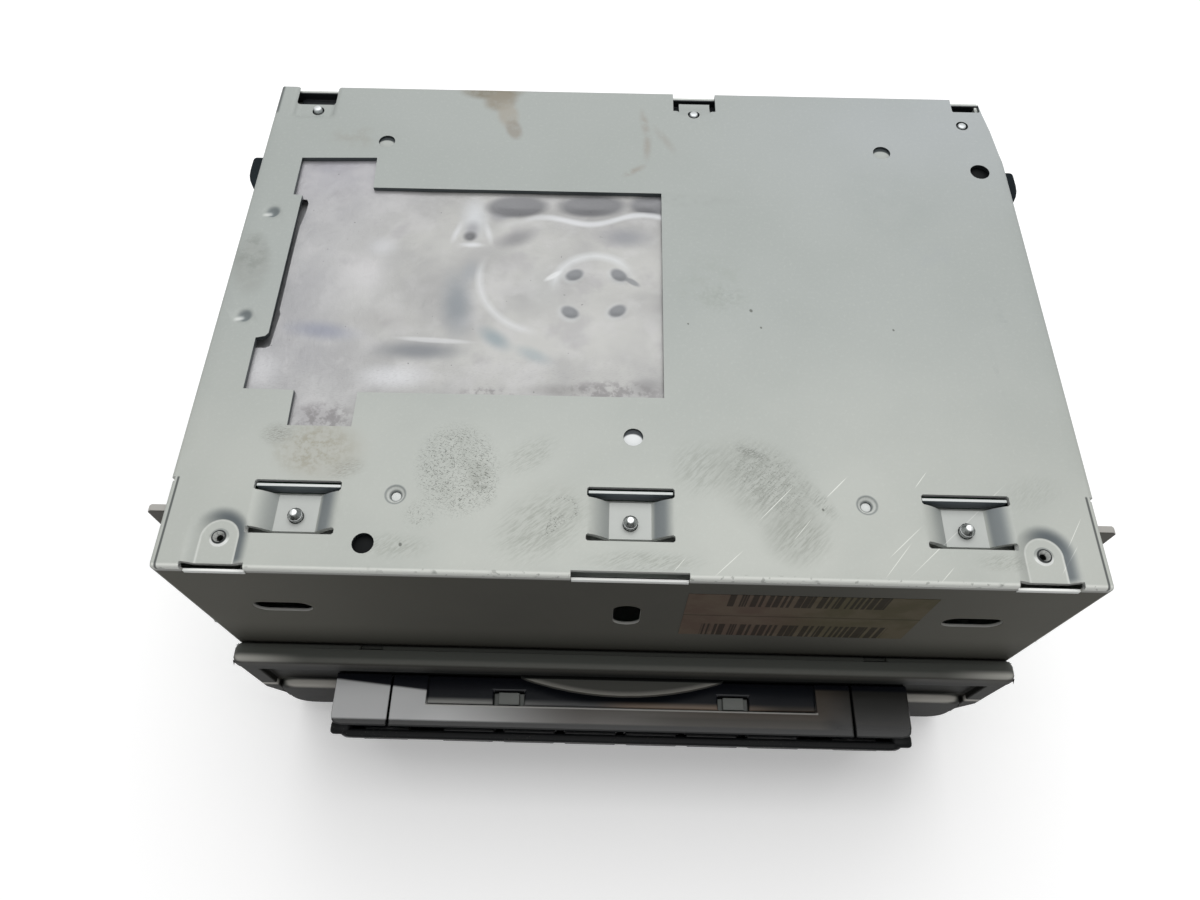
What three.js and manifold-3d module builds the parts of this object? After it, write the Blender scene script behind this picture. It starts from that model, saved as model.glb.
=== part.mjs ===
// A two-slot-high car navigation radio with a disc slot, lying upside down on its top cover.
// Millimetres, +Z up. The bottom cover faces up and the fascia faces -Y.
// The origin is under the middle of the whole radio, on the surface that it lies on.

import * as THREE from "three";
import { mergeVertices } from "three/addons/utils/BufferGeometryUtils.js";
import Module from "manifold-3d";

const wasm = await Module();
wasm.setup();

// Clearances and fineness
const seat = 0.2; // between fixed pieces that lie on each other
const clear = 0.3; // between pieces that fit or move past each other
const overrun = 1; // how far a cutting shape runs past what it cuts
const fineSides = 18; // sides of a round piece that shows
const coarseSides = 12; // sides of a small or inner round piece
const arcSteps = 3; // steps of a rounded corner
const sweepSteps = 6; // steps of a long curve that shows
const weldReach = 1e-4; // corners nearer than this are one corner

// Metal case
const caseWidth = 178;
const caseDepth = 130.4;
const caseHeight = 100;
const sheet = 1;
const bendRadius = 1.2;
const flangeDrop = 11; // how far the covers' side flanges reach round the sides
const wrapDepth = 18.4; // how far the front plate's ends reach back along the sides
const wrapWall = 0.8;
const coverStand = 0.9; // how far the cover's sides stand out, level with the front plate's ends
const cornerCutShares = [0.485, 0.8]; // where the cover's rear right corner is drawn in

// Bottom cover: window, holes and pressed places, as shares of the case's width and depth
const windowShares = [
  [-0.45, 0.808],
  [-0.348, 0.812],
  [-0.346, 0.737],
  [0.038, 0.737],
  [0.038, 0.3],
  [-0.317, 0.3],
  [-0.317, 0.236],
  [-0.391, 0.236],
  [-0.391, 0.301],
  [-0.45, 0.301],
  [-0.45, 0.383],
  [-0.434, 0.402],
  [-0.434, 0.702],
  [-0.45, 0.72],
];
const windowTabShares = [
  [0.414, 0.452],
  [0.644, 0.698],
];
const windowTabDrop = 2.6;
const coverHoleShares = [
  [0.002, 0.229],
  [-0.283, 0.043],
  [0.469, 0.807],
  [-0.339, 0.855],
  [0.34, 0.851],
];
const coverHole = 4.1;
const sunkHoleShares = [
  [-0.256, 0.122],
  [0.256, 0.122],
];
const sunkHole = 2;
const sunkRim = 3.8;
const dimpleShares = [
  [-0.472, 0.673],
  [-0.472, 0.443],
];
const dimpleWidth = 4.4;
const dimpleDepth = 0.5;

// Bridges pressed down out of the bottom cover, each with a screw through its floor
const bridgeInset = 24.2; // from the case's side in to the outer bridges
const bridgeHalf = 8.6;
const bridgeFloorHalf = 4.1;
const bridgeDrop = 2.6;
const bridgeFront = 8.3;
const bridgeLength = 7.4;
const slitFront = 7;
const slitRear = 18.6;
const lipDrop = 3.4;
const lipWall = 1;
const screwY = 11.8;
const screwRadius = 1.4;
const screwHead = 2.6;
const screwHeadHeight = 1.8;
const screwShort = 0.3; // how far a screw's tip stays under the cover's face

// Recesses at the cover's front corners, with a collared hole, and the slits in its front edge
const recessInset = 11; // from the case's side
const recessHalf = 3.6;
const recessReach = 10.1;
const recessSlope = 2.3; // how far its walls lean out
const recessDepth = 0.9;
const recessHoleY = 6.3;
const recessHole = 2.2;
const collarRadius = 1.9;
const collarHeight = 0.4;
const slitHalf = 6;
const middleSlitHalf = 11.1;
const slitDepth = 0.9;
const slitDrop = 2.4; // how far a slit reaches down into the front plate
const frontRadius = 0.8; // rounding of the cover's front edge

// Rear edge of the bottom cover: notches and the screws beside them
const rearNotches = [
  { xShare: -0.451, widthShare: 0.055, frontShare: 0.958, screwShares: [-0.446, 0.94] },
  { xShare: 0.086, widthShare: 0.06, frontShare: 0.953, screwShares: [0.085, 0.945] },
  { xShare: 0.47, widthShare: 0.039, frontShare: 0.966, screwShares: [0.46, 0.928] },
];
const tongueHalf = 3.9; // of the cover's tongue in the middle notch
const tongueEndShare = 0.979;
const pocketShare = 0.92; // where the shallow pocket before the left notch starts
const pocketDepth = 0.5;
const rearTabHalf = 6;
const rearTabReach = 13;
const rearTabDrop = 2;

// Front plate
const slotWidth = 12.2;
const slotHeight = 5.5;
const slotInset = 17.9; // from the case's side
const slotDrop = 22;
const keyholeWidth = 5.6;
const keyholeHeight = 12.2;
const keyholeDrop = 22.5;
const discWindowHalf = 64;
const cableWindowHalf = 9;
const cableWindowHeight = 9;

// Side walls
const wallInset = 0.3; // from the covers' flanges in to the side walls
const mountHole = 5.2;
const mountHoleShares = [
  [0.3, 0.28],
  [0.62, 0.28],
  [0.3, 0.72],
  [0.62, 0.72],
];
const ventCount = 7;
const ventWidth = 2.4;
const ventHeight = 18;
const ventPitch = 7;
const ventStartShare = 0.28;
const shelfReach = 8;
const shelfWidth = 8;
const shelfShares = [0.25, 0.8];

// Ears, bumpers and screws on the sides
const earFront = 12.6;
const earSheet = 1.5;
const earDrop = 3;
const earHeight = 8;
const earReach = 4.6; // past the front plate's side
const earFoot = 4.5;
const earBevel = 0.8;
const bumperSetback = 21.7; // of its widest point, from the case's rear
const bumperRamp = 9.5;
const bumperHeel = 4.3;
const bumperRoundShare = 0.58;
const bumperCorner = 1.2;
const bumperReach = 5.9;
const bumperDrop = 7;
const bumperHeight = 7;
const sideScrewY = 4;
const sideScrewDrop = 38;
const sideScrewHead = 3.1;
const sideScrewHeight = 1.7;

// Shield under the window, with the dents in it
const shieldDrop = 3.3;
const shieldWall = 0.6;
const shieldMargin = 4;
const dentRadius = 7;
const dentDepth = 0.35;
const dentShares = [
  [-0.071, 0.558],
  [-0.02, 0.56],
  [-0.077, 0.479],
  [-0.017, 0.481],
  [-0.211, 0.64],
];

// Stay behind the front plate, under the bridges
const stayInset = 15; // from the case's side
const stayFront = 1.4;
const stayDepth = 16;
const stayFlange = 10;

// Fascia
const fasciaOverhang = 1.3; // past the case's side
const fasciaTop = 53.5;
const railHeight = 8;
const railDepth = 4.8;
const railRadius = 3;
const bandDepth = 2.6;
const lowerRailInset = 3.4; // from the fascia's side
const lowerRailTop = 31;
const fasciaBottom = 12;
const lowerRailRadius = 6;
const endPostWidth = 4;
const endPostDepth = 4.2;
const endPostFoot = 19;
const endPostSlant = 8;
const softEdge = 1.4; // rounding of the moulded edges
const lipHalf = 24;
const lipReach = 3.8;
const lipThick = 2;
const discSlotHalf = 62.5;
const discSlotHeight = 4.6;
const ledgeNotchX = 58;
const ledgeNotchWidth = 5;
const ledgeNotchDepth = 1.2;

// Bar with the display and the keys
const barTop = 37.8;
const barBottom = 10;
const barHalf = 69.6;
const barRoot = 3;
const barFront = 18.2;
const barLean = 6; // how much further back the front is at its foot than at its head
const barWall = 1.8;
const barCorner = 2.6;
const faceEnd = 15.6; // where the glossy face ends
const faceHalf = 56;
const facePocketHalf = 47;
const facePocketEnd = 10;
const facePocketDepth = 0.7;
const clipX = 27.2;
const clipHalf = 3.7;
const clipFront = 10;
const clipBack = 6.5;
const tongueInset = 1.2;
const bezelInset = 2.2; // from the bar's end to the bezel's
const bezelThick = 2.2;
const bezelHeadInset = 0.4;
const bezelEndDepth = 2; // how far the bezel's round ends fall back

// Display
const lensGap = 6; // from the display's window to a rocker
const lensFoot = 12.6;
const lensHead = 28.2;
const lensThick = 1.5;
const panelMargin = 1.4;
const panelThick = 2;
const boardThick = 1.6;
const keyBoardSetback = 4.6; // from the front of the bar to the front of the key board
const keyBoardThick = 1.2;
const keyBoardInset = 4; // from the bar's end

// Keys
const keyNames = ["eject_key", "map_key", "menu_key", "audio_key", "tune_down_key", "tune_up_key"];
const keyGap = 2.4; // from key to key
const keyFoot = 30.6;
const keyHead = 35;
const keyProud = 0.2;
const keyFlange = 0.7;
const keyFlangeThick = 1;
const keyStemHalf = 1.5;
const keyTravel = 0.6;
const rockerNames = ["volume_rocker", "track_rocker"];
const rockerInset = 11; // from the bezel's end to a rocker's middle
const rockerHalf = 5.4;
const rockerFoot = 13.4;
const rockerHead = 34.2;

// Disc path and mechanism, measured from the middle of the seated disc
const discPlane = 40;
const discCentreY = 66;
const discHalfThick = 0.6;
const discRadius = 60;
const deckHeight = 9.7;
const deckInset = 16.7; // from the side walls in to the deck
const deckFront = 60;
const deckRearGap = 3.4; // from the deck to the rear plate
const fanNotchGap = 2; // from the deck's notch to the fan
const lighteningShares = [
  [0.42, -0.55],
  [0.42, 0.05],
  [0.42, 0.6],
  [-0.42, -0.62],
  [0.24, 0.62],
];
const lighteningRadius = 7.5;

// Turntable, spindle motor and clamp
const tableRadius = 13;
const tableThick = 1.8;
const hubRadius = 7.3;
const hubReach = 1.6;
const spindleRadius = 4;
const spindleMotorRadius = 12.4;
const spindleMotorHeight = 5.5;
const puckRadius = 12;
const puckNeck = 4.6;
const puckCap = 8;
const puckRecess = 0.5;
const armThick = 1.2;
const armDrop = 5.4;
const armHalf = 15;
const armRootHalf = 29;
const armFront = 15;
const armHingeInset = 3; // from the deck's rear edge
const armPinRadius = 1.2;
const earHalf = 3.4;
const earWall = 1.2;

// Pickup sled with its rods, screw and motor
const sledHome = 23; // from the disc's centre to the lens, innermost
const sledHalf = 8;
const sledReach = 24;
const sledUnder = 3.4;
const sledThick = 5.8;
const railY = 20;
const railZ = 6.4;
const rodRadius = 1.5;
const postThick = 4;
const postHalf = 3;
const lensBossRadius = 4.2;
const lensBossHeight = 1;
const lensRadius = 2.6;
const lensDome = 0.7;
const lensCrownShare = 0.6;
const screwRodY = 27.6;
const screwRodRadius = 1.6;
const screwRodDeepShare = 0.66;
const screwRodTurns = 9;
const screwRodLobes = 6;
const screwRodSteps = 42;
const nutHalf = 5;
const sledMotorRadius = 6;
const sledMotorLength = 13;
const motorShaft = 1;
const motorFlangeHalf = 7.5;

// Loading roller and its gears
const rollerY = 54;
const rollerRadius = 3.6;
const rollerWaistShare = 0.86;
const rollerInset = 14; // from the deck's side
const rollerShaft = 1.25;
const gearModule = 0.8;
const gearWidth = 3;
const rollerTeeth = 16;
const idlerTeeth = 22;
const pinionTeeth = 10;
const toothEdgeShares = [0.2, 0.39, 0.61, 0.8]; // a tooth's foot and head corners, of a pitch
const toothHeadShare = 0.8; // of the module, outside the pitch circle
const toothFootShare = 1.1; // of the module, inside it
const idlerDegrees = 33.5; // slope of the line from roller to idler
const pinionDegrees = 44.4; // slope of the line from idler to pinion
const gearPlateTop = 30;
const endPlateReach = 14.4;
const loadingMotorRadius = 6;
const loadingMotorLength = 13.5;
const guideInset = 8; // from the deck's side
const guideThick = 1.6;
const guideFront = 60;
const guideLength = 13;

// Shutter behind the disc slot
const shutterY = 2.4;
const shutterThick = 0.8;
const shutterPin = 0.9;
const shutterHalf = 60;

// What carries the deck
const damperRadius = 5;
const damperWaistShare = 0.62;
const damperHeight = 3;
const damperInset = 10; // from the deck's side
const damperShares = [0.15, 0.882]; // of the bracket's length
const bracketOverlap = 17; // how far a bracket reaches in over the deck
const bracketFront = 18;
const bracketSetback = 10; // from the deck's rear edge
const bracketFlange = 10;

// Boards and what is on them
const mainBoardDrop = 12; // from the bottom cover's face to the main board
const mainBoardInset = 2.7; // from the side walls in to the main board
const mainBoardFront = 20;
const mainBoardSetback = 14.4; // from the case's rear
const mapBoardZ = 12;
const mapBoardFront = 14;
const mapBoardSetback = 20.4; // from the case's rear
const postRadius = 3;
const chipThick = 2;
const mainChipShares = [
  { at: [-0.2, 0.35], half: 0.062 },
  { at: [0.12, 0.3], half: 0.045 },
  { at: [0.3, 0.55], half: 0.034 },
];
const mapChipShares = [
  { at: [0, 0.5], half: 0.073 },
  { at: [-0.22, 0.35], half: 0.039 },
  { at: [-0.22, 0.62], half: 0.039 },
  { at: [0.22, 0.45], half: 0.034 },
];
const capacitorRadius = 5;
const capacitorHeight = 16;
const capacitorShares = [
  [0.36, 0.64],
  [0.36, 0.74],
  [0.29, 0.69],
];
const tunerWidth = 30;
const tunerDepth = 30;
const tunerHeight = 13;
const tunerInset = 10.7; // from the left side wall in to the tuner
const tunerSetback = 50.4; // from the case's rear to the tuner's front

// Rear of the radio
const fanSize = 30;
const fanDepth = 10;
const fanInset = 25; // from the case's right side to the fan's axis
const fanDrop = 28; // from the bottom cover's face to the fan's axis
const fanBore = 13.8;
const fanHub = 6;
const fanBlades = 7;
const bladeThick = 0.9;
const bladeTwist = 0.55;
const grilleThick = 1.6;
const fanBarShare = 0.625; // of the bore's radius, from bar to bar
const sinkInset = 9; // from the case's left side to the heat sink
const sinkGap = 14; // from the heat sink to the power socket
const sinkFoot = 26;
const sinkDrop = 20; // from the bottom cover's face to the heat sink's top
const sinkBase = 3;
const sinkFin = 11;
const sinkFins = 13;
const finThick = 1.8;
const finDraftShare = 0.2;
const ampWidth = 34;
const ampHeight = 14;
const ampThick = 4;
const socketWidth = 36;
const socketHeight = 16;
const socketReach = 9;
const socketWall = 1.5;
const socketInset = 53; // from the case's right side to the power socket's middle
const socketFoot = 24;
const socketFloor = 2;
const pinColumns = 8;
const pinRowShare = 0.2; // of the socket's height, from its middle to a row of pins
const pinHalf = 0.5;
const pinLength = 2.4;
const aerialRadius = 6.5;
const aerialBore = 4.4;
const aerialReach = 10;
const aerialInsets = [25, 9]; // from the case's right side
const aerialZ = 30;

// Derived places
const half = caseWidth / 2;
const under = caseHeight - sheet;
const coverHalf = half + coverStand;
const wallOuter = half - sheet - wallInset;
const wallInner = wallOuter - sheet;
const wrapOuter = half + seat + wrapWall;
const bridgeSpacing = half - bridgeInset;
const recessX = half - recessInset;
const slotX = half - slotInset;
const stayHalf = half - stayInset;
const bumperY = caseDepth - bumperSetback;
const fasciaHalf = half + fasciaOverhang;
const lowerRailHalf = fasciaHalf - lowerRailInset;
const rearOuter = caseDepth;
const rearInner = caseDepth - sheet;
const sinkRear = rearOuter + seat + sinkBase + sinkFin;
const middleY = (sinkRear - barFront) / 2;
const slotFoot = barTop + seat;
const discSlotTop = slotFoot + discSlotHeight;
const bandFront = -seat - bandDepth;
const railFront = -seat - railDepth;
const bezelHalf = barHalf - bezelInset;
const keyBoardHalf = barHalf - keyBoardInset;
const rockerX = bezelHalf - rockerInset;
const lensHalf = rockerX - rockerHalf - lensGap;
const keyPitch = (2 * lensHalf - keyGap) / keyNames.length;
const keyWidth = keyPitch - keyGap;
const deckHalf = wallInner - deckInset;
const deckRear = rearInner - deckRearGap - discCentreY;
const armHingeY = deckRear - armHingeInset;
const rollerHalf = deckHalf - rollerInset;
const guideHalf = deckHalf - guideInset;
const mapBoardHalf = guideHalf;
const damperX = deckHalf - damperInset;
const bracketInner = deckHalf - bracketOverlap;
const bracketRear = deckRear - bracketSetback;
const mainBoardRear = caseDepth - mainBoardSetback;
const mapBoardRear = caseDepth - mapBoardSetback;
const tunerY = caseDepth - tunerSetback;
const mainBoardZ = caseHeight - mainBoardDrop;
const mainBoardHalf = wallInner - mainBoardInset;
const boardUnder = mainBoardZ - seat;
const slotZ = caseHeight - slotDrop;
const keyholeZ = caseHeight - keyholeDrop;
const tunerLeft = -wallInner + tunerInset;
const fanX = half - fanInset;
const fanZ = caseHeight - fanDrop;
const socketX = half - socketInset;
const sinkLeft = -half + sinkInset;
const sinkRight = socketX - socketWidth / 2 - sinkGap;
const sinkHead = caseHeight - sinkDrop;
const aerialXs = aerialInsets.map((inset) => half - inset);

// Materials
const finish = (color, roughness, metalness) =>
  new THREE.MeshStandardMaterial({ color, roughness, metalness });
const steel = finish(0xb3b8b3, 0.45, 0.7);
const brightMetal = finish(0xd0d2d4, 0.22, 0.9);
const darkPlastic = finish(0x2d2e2e, 0.55, 0);
const glossPlastic = finish(0x38393b, 0.15, 0);
const greyPlastic = finish(0x9a9690, 0.6, 0);
const blackRubber = finish(0x151515, 0.85, 0);
const greenBoard = finish(0x1e5a36, 0.5, 0);
const blackChip = finish(0x17181a, 0.4, 0);
const castMetal = finish(0x8c9093, 0.5, 0.8);
const whitePlastic = finish(0xd9d6cc, 0.5, 0);
const clearGlass = finish(0x0c1014, 0.05, 0);

// Shapes: a closed geometry becomes a solid that can be joined and cut
function solid(geometry) {
  const bare = geometry.clone();
  bare.deleteAttribute("normal");
  bare.deleteAttribute("uv");
  const welded = mergeVertices(bare, weldReach);
  return new wasm.Manifold(
    new wasm.Mesh({
      numProp: 3,
      vertProperties: new Float32Array(welded.attributes.position.array),
      triVerts: new Uint32Array(welded.index.array),
    }),
  );
}

function join(...solids) {
  return solids.flat().reduce((whole, next) => whole.add(next));
}

function cut(whole, ...tools) {
  return tools.flat().reduce((left, tool) => left.subtract(tool), whole);
}

function common(...solids) {
  return solids.reduce((left, next) => left.intersect(next));
}

function box(x0, x1, y0, y1, z0, z1) {
  const geometry = new THREE.BoxGeometry(x1 - x0, y1 - y0, z1 - z0);
  return solid(geometry.translate((x0 + x1) / 2, (y0 + y1) / 2, (z0 + z1) / 2));
}

// A box on one side of the radio, from near to far as measured out from the middle.
function sideBox(side, near, far, ...rest) {
  return box(Math.min(side * near, side * far), Math.max(side * near, side * far), ...rest);
}

// A box that reaches as far to the left as to the right of x.
function boxAt(x, reach, ...rest) {
  return box(x - reach, x + reach, ...rest);
}

// A shape drawn in the plane across the axis: X-Y for z, X-Z for y, Y-Z for x.
function prism(shape, axis, from, to, edge = 0, curveSegments = arcSteps) {
  const geometry = new THREE.ExtrudeGeometry(shape, {
    depth: to - from - 2 * edge,
    steps: 1,
    curveSegments,
    bevelEnabled: edge > 0,
    bevelSize: edge,
    bevelThickness: edge,
    bevelOffset: -edge,
    bevelSegments: 2,
  });
  if (axis === "z") geometry.translate(0, 0, from + edge);
  if (axis === "y") geometry.rotateX(Math.PI / 2).translate(0, to - edge, 0);
  if (axis === "x") {
    geometry.rotateY(Math.PI / 2).rotateX(Math.PI / 2).translate(from + edge, 0, 0);
  }
  return solid(geometry);
}

function polygon(points) {
  return new THREE.Shape(points.map(([u, v]) => new THREE.Vector2(u, v)));
}

function roundRect(u0, u1, v0, v1, radius) {
  const shape = new THREE.Shape();
  shape.moveTo(u0 + radius, v0);
  shape.lineTo(u1 - radius, v0);
  shape.absarc(u1 - radius, v0 + radius, radius, -Math.PI / 2, 0);
  shape.lineTo(u1, v1 - radius);
  shape.absarc(u1 - radius, v1 - radius, radius, 0, Math.PI / 2);
  shape.lineTo(u0 + radius, v1);
  shape.absarc(u0 + radius, v1 - radius, radius, Math.PI / 2, Math.PI);
  shape.lineTo(u0, v0 + radius);
  shape.absarc(u0 + radius, v0 + radius, radius, Math.PI, 1.5 * Math.PI);
  return shape;
}

// A round piece along an axis, from one place to another on it, about the point (u, v) across it.
function round(axis, radius, u, v, from, to, sides = coarseSides, endRadius = radius) {
  const geometry = new THREE.CylinderGeometry(endRadius, radius, to - from, sides);
  geometry.translate(0, (from + to) / 2, 0);
  if (axis === "z") geometry.rotateX(Math.PI / 2).translate(u, v, 0);
  if (axis === "y") geometry.translate(u, 0, v);
  if (axis === "x") geometry.rotateZ(-Math.PI / 2).translate(0, u, v);
  return solid(geometry);
}

// A turned piece: its profile runs from the axis out and back to the axis, as radius and height.
function turned(profile, sides = fineSides) {
  const points = profile.map(([radius, height]) => new THREE.Vector2(radius, height));
  const geometry = new THREE.LatheGeometry(points, sides);
  return solid(geometry.rotateX(Math.PI / 2));
}

function moved(geometrySolid, x, y, z) {
  const data = geometrySolid.getMesh();
  const geometry = bufferOf(data).translate(x, y, z);
  return solid(geometry);
}

function bufferOf(data) {
  const geometry = new THREE.BufferGeometry();
  geometry.setAttribute("position", new THREE.BufferAttribute(data.vertProperties.slice(), 3));
  geometry.setIndex(new THREE.BufferAttribute(data.triVerts.slice(), 1));
  return geometry;
}

function piece(parent, name, shape, material, place = [0, 0, 0]) {
  const mesh = new THREE.Mesh(bufferOf(shape.getMesh()), material);
  mesh.geometry.computeVertexNormals();
  mesh.name = name;
  mesh.position.set(...place);
  parent.add(mesh);
  return mesh;
}

const bothSides = [-1, 1];

// The section of a sheet with a flange turned back at each end; turn is +1 or -1 along v.
function channel(halfWidth, face, reach, wall, radius, turn) {
  const shape = new THREE.Shape();
  shape.moveTo(-halfWidth, face + turn * reach);
  shape.lineTo(-halfWidth, face + turn * radius);
  shape.quadraticCurveTo(-halfWidth, face, -halfWidth + radius, face);
  shape.lineTo(halfWidth - radius, face);
  shape.quadraticCurveTo(halfWidth, face, halfWidth, face + turn * radius);
  shape.lineTo(halfWidth, face + turn * reach);
  shape.lineTo(halfWidth - wall, face + turn * reach);
  shape.lineTo(halfWidth - wall, face + turn * wall);
  shape.lineTo(-halfWidth + wall, face + turn * wall);
  shape.lineTo(-halfWidth + wall, face + turn * reach);
  return shape;
}

// One bridge: the cover is slit in front and behind, and the strip between is pressed down.
function bridge(x) {
  const low = caseHeight - bridgeDrop;
  const strip = polygon([
    [x - bridgeHalf - sheet, caseHeight],
    [x - bridgeHalf, caseHeight],
    [x - bridgeFloorHalf, low],
    [x + bridgeFloorHalf, low],
    [x + bridgeHalf, caseHeight],
    [x + bridgeHalf + sheet, caseHeight],
    [x + bridgeHalf + sheet, under],
    [x + bridgeHalf, under],
    [x + bridgeFloorHalf, low - sheet],
    [x - bridgeFloorHalf, low - sheet],
    [x - bridgeHalf, under],
    [x - bridgeHalf - sheet, under],
  ]);
  return prism(strip, "y", bridgeFront, bridgeFront + bridgeLength);
}

// A recess's outline, wider than its floor by an amount, from one height to another.
function recessLayer(x, wider, from, to) {
  const halfWidth = recessHalf + wider;
  const shape = new THREE.Shape();
  shape.moveTo(x - halfWidth, 0);
  shape.lineTo(x + halfWidth, 0);
  shape.lineTo(x + halfWidth, recessReach - recessHalf);
  shape.absarc(x, recessReach - recessHalf, halfWidth, 0, Math.PI);
  return prism(shape, "z", from, to);
}

// What is cut away to round the cover's front edge.
function frontEdge() {
  const shape = new THREE.Shape();
  shape.moveTo(-overrun, caseHeight - frontRadius);
  shape.lineTo(0, caseHeight - frontRadius);
  shape.quadraticCurveTo(0, caseHeight, frontRadius, caseHeight);
  shape.lineTo(frontRadius, caseHeight + overrun);
  shape.lineTo(-overrun, caseHeight + overrun);
  return prism(shape, "x", -half - overrun, half + overrun);
}

function notchEdges(notch) {
  const x = notch.xShare * caseWidth;
  const reach = (notch.widthShare * caseWidth) / 2;
  return [x - reach, x + reach];
}

function bottomCover() {
  const section = channel(coverHalf, caseHeight, flangeDrop, sheet, bendRadius, -1);
  let cover = prism(section, "y", 0, caseDepth);
  const cutTop = caseHeight + overrun;
  const beyond = coverHalf + overrun;
  for (const side of bothSides) {
    const reach = [-overrun, wrapDepth + clear];
    const flange = sideBox(side, coverHalf - sheet, beyond, ...reach, 0, under);
    cover = cut(cover, flange, sideBox(side, half, beyond, ...reach, 0, cutTop));
  }
  const [drawnX, drawnY] = cornerCutShares;
  const corner = polygon([
    [beyond, drawnY * caseDepth],
    [coverHalf, drawnY * caseDepth],
    [drawnX * caseWidth + sheet, caseDepth + overrun],
    [beyond, caseDepth + overrun],
  ]);
  cover = cut(cover, prism(corner, "z", 0, cutTop));
  const outline = windowShares.map(([x, y]) => [x * caseWidth, y * caseDepth]);
  cover = cut(cover, prism(polygon(outline), "z", under - overrun, cutTop));
  for (const [x, y] of coverHoleShares) {
    const at = [x * caseWidth, y * caseDepth];
    cover = cut(cover, round("z", coverHole / 2, ...at, under - overrun, cutTop));
  }
  for (const [x, y] of sunkHoleShares) {
    const at = [x * caseWidth, y * caseDepth];
    cover = cut(
      cover,
      round("z", sunkHole / 2, ...at, under - overrun, cutTop),
      round("z", sunkHole / 2, ...at, under, caseHeight + seat, coarseSides, sunkRim / 2),
    );
  }
  for (const [x, y] of dimpleShares) {
    const at = [x * caseWidth, y * caseDepth];
    const from = caseHeight - dimpleDepth;
    const wide = dimpleWidth / 2;
    cover = cut(cover, round("z", wide / 2, ...at, from, caseHeight + seat, coarseSides, wide));
  }
  for (const step of [-1, 0, 1]) {
    const x = step * bridgeSpacing;
    const hole = boxAt(x, bridgeHalf, slitFront, slitRear, under - overrun, cutTop);
    const lipFoot = caseHeight - lipDrop;
    const lip = boxAt(x, bridgeHalf, slitRear - lipWall, slitRear + seat, lipFoot, caseHeight - seat);
    const screwHole = round("z", screwRadius + clear, x, screwY, 0, cutTop);
    cover = cut(join(cut(cover, hole), bridge(x), lip), screwHole);
  }
  for (const side of bothSides) {
    const x = side * recessX;
    const floor = caseHeight - recessDepth;
    const pad = wasm.Manifold.hull([
      recessLayer(x, sheet, floor - sheet, floor),
      recessLayer(x, recessSlope, under, under + seat),
    ]);
    const hollow = wasm.Manifold.hull([
      recessLayer(x, 0, floor, caseHeight),
      recessLayer(x, recessSlope, caseHeight, cutTop),
    ]);
    const collar = round("z", collarRadius, x, recessHoleY, floor - seat, floor + collarHeight);
    const hole = round("z", recessHole / 2, x, recessHoleY, 0, cutTop);
    const slit = boxAt(x, slitHalf, -overrun, slitDepth, 0, cutTop);
    cover = cut(join(cut(join(cover, pad), hollow), collar), hole, slit);
  }
  cover = cut(cover, boxAt(0, middleSlitHalf, -overrun, slitDepth, 0, cutTop));
  for (const notch of rearNotches) {
    const [x0, x1] = notchEdges(notch);
    const level = [under - overrun, cutTop];
    cover = cut(cover, box(x0, x1, notch.frontShare * caseDepth, caseDepth + overrun, ...level));
  }
  const [leftNotch, middleNotch] = rearNotches;
  const tongueEnds = [middleNotch.frontShare * caseDepth - seat, tongueEndShare * caseDepth];
  const tongueX = middleNotch.xShare * caseWidth;
  cover = join(cover, boxAt(tongueX, tongueHalf, ...tongueEnds, under, caseHeight));
  const pocketEnds = [pocketShare * caseDepth, caseDepth];
  const pocketFloor = caseHeight - pocketDepth;
  cover = cut(cover, box(...notchEdges(leftNotch), ...pocketEnds, pocketFloor, cutTop), frontEdge());
  for (const notch of rearNotches) {
    const [screwX, screwAt] = notch.screwShares;
    const at = [screwX * caseWidth, screwAt * caseDepth];
    cover = cut(cover, round("z", screwRadius + clear, ...at, 0, cutTop));
  }
  return join(cover, windowTabs());
}

// Tabs at the window's left edge, bent down.
function windowTabs() {
  const edge = windowShares.at(-2)[0] * caseWidth;
  return windowTabShares.map(([from, to]) => {
    const level = [caseHeight - windowTabDrop, caseHeight - seat];
    return box(edge - seat, edge + sheet, from * caseDepth, to * caseDepth, ...level);
  });
}

function topCover() {
  const section = channel(half, 0, flangeDrop, sheet, bendRadius, 1);
  let cover = prism(section, "y", 0, caseDepth);
  for (const side of bothSides) {
    const edge = [half - sheet, half + overrun];
    const above = flangeDrop + overrun;
    cover = cut(cover, sideBox(side, ...edge, -overrun, wrapDepth + clear, sheet, above));
  }
  for (const [x, y] of mapPosts()) {
    cover = join(cover, round("z", postRadius, x, y, 0, mapBoardZ - seat));
  }
  return cover;
}

function mapPosts() {
  const inset = 2 * postRadius;
  const xs = [-mapBoardHalf + inset, mapBoardHalf - inset];
  const ys = [mapBoardFront + inset, mapBoardRear - inset];
  return xs.flatMap((x) => ys.map((y) => [x, y]));
}

function obround(u, v, wide, high) {
  const radius = Math.min(wide, high) / 2;
  return roundRect(u - wide / 2, u + wide / 2, v - high / 2, v + high / 2, radius);
}

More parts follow.
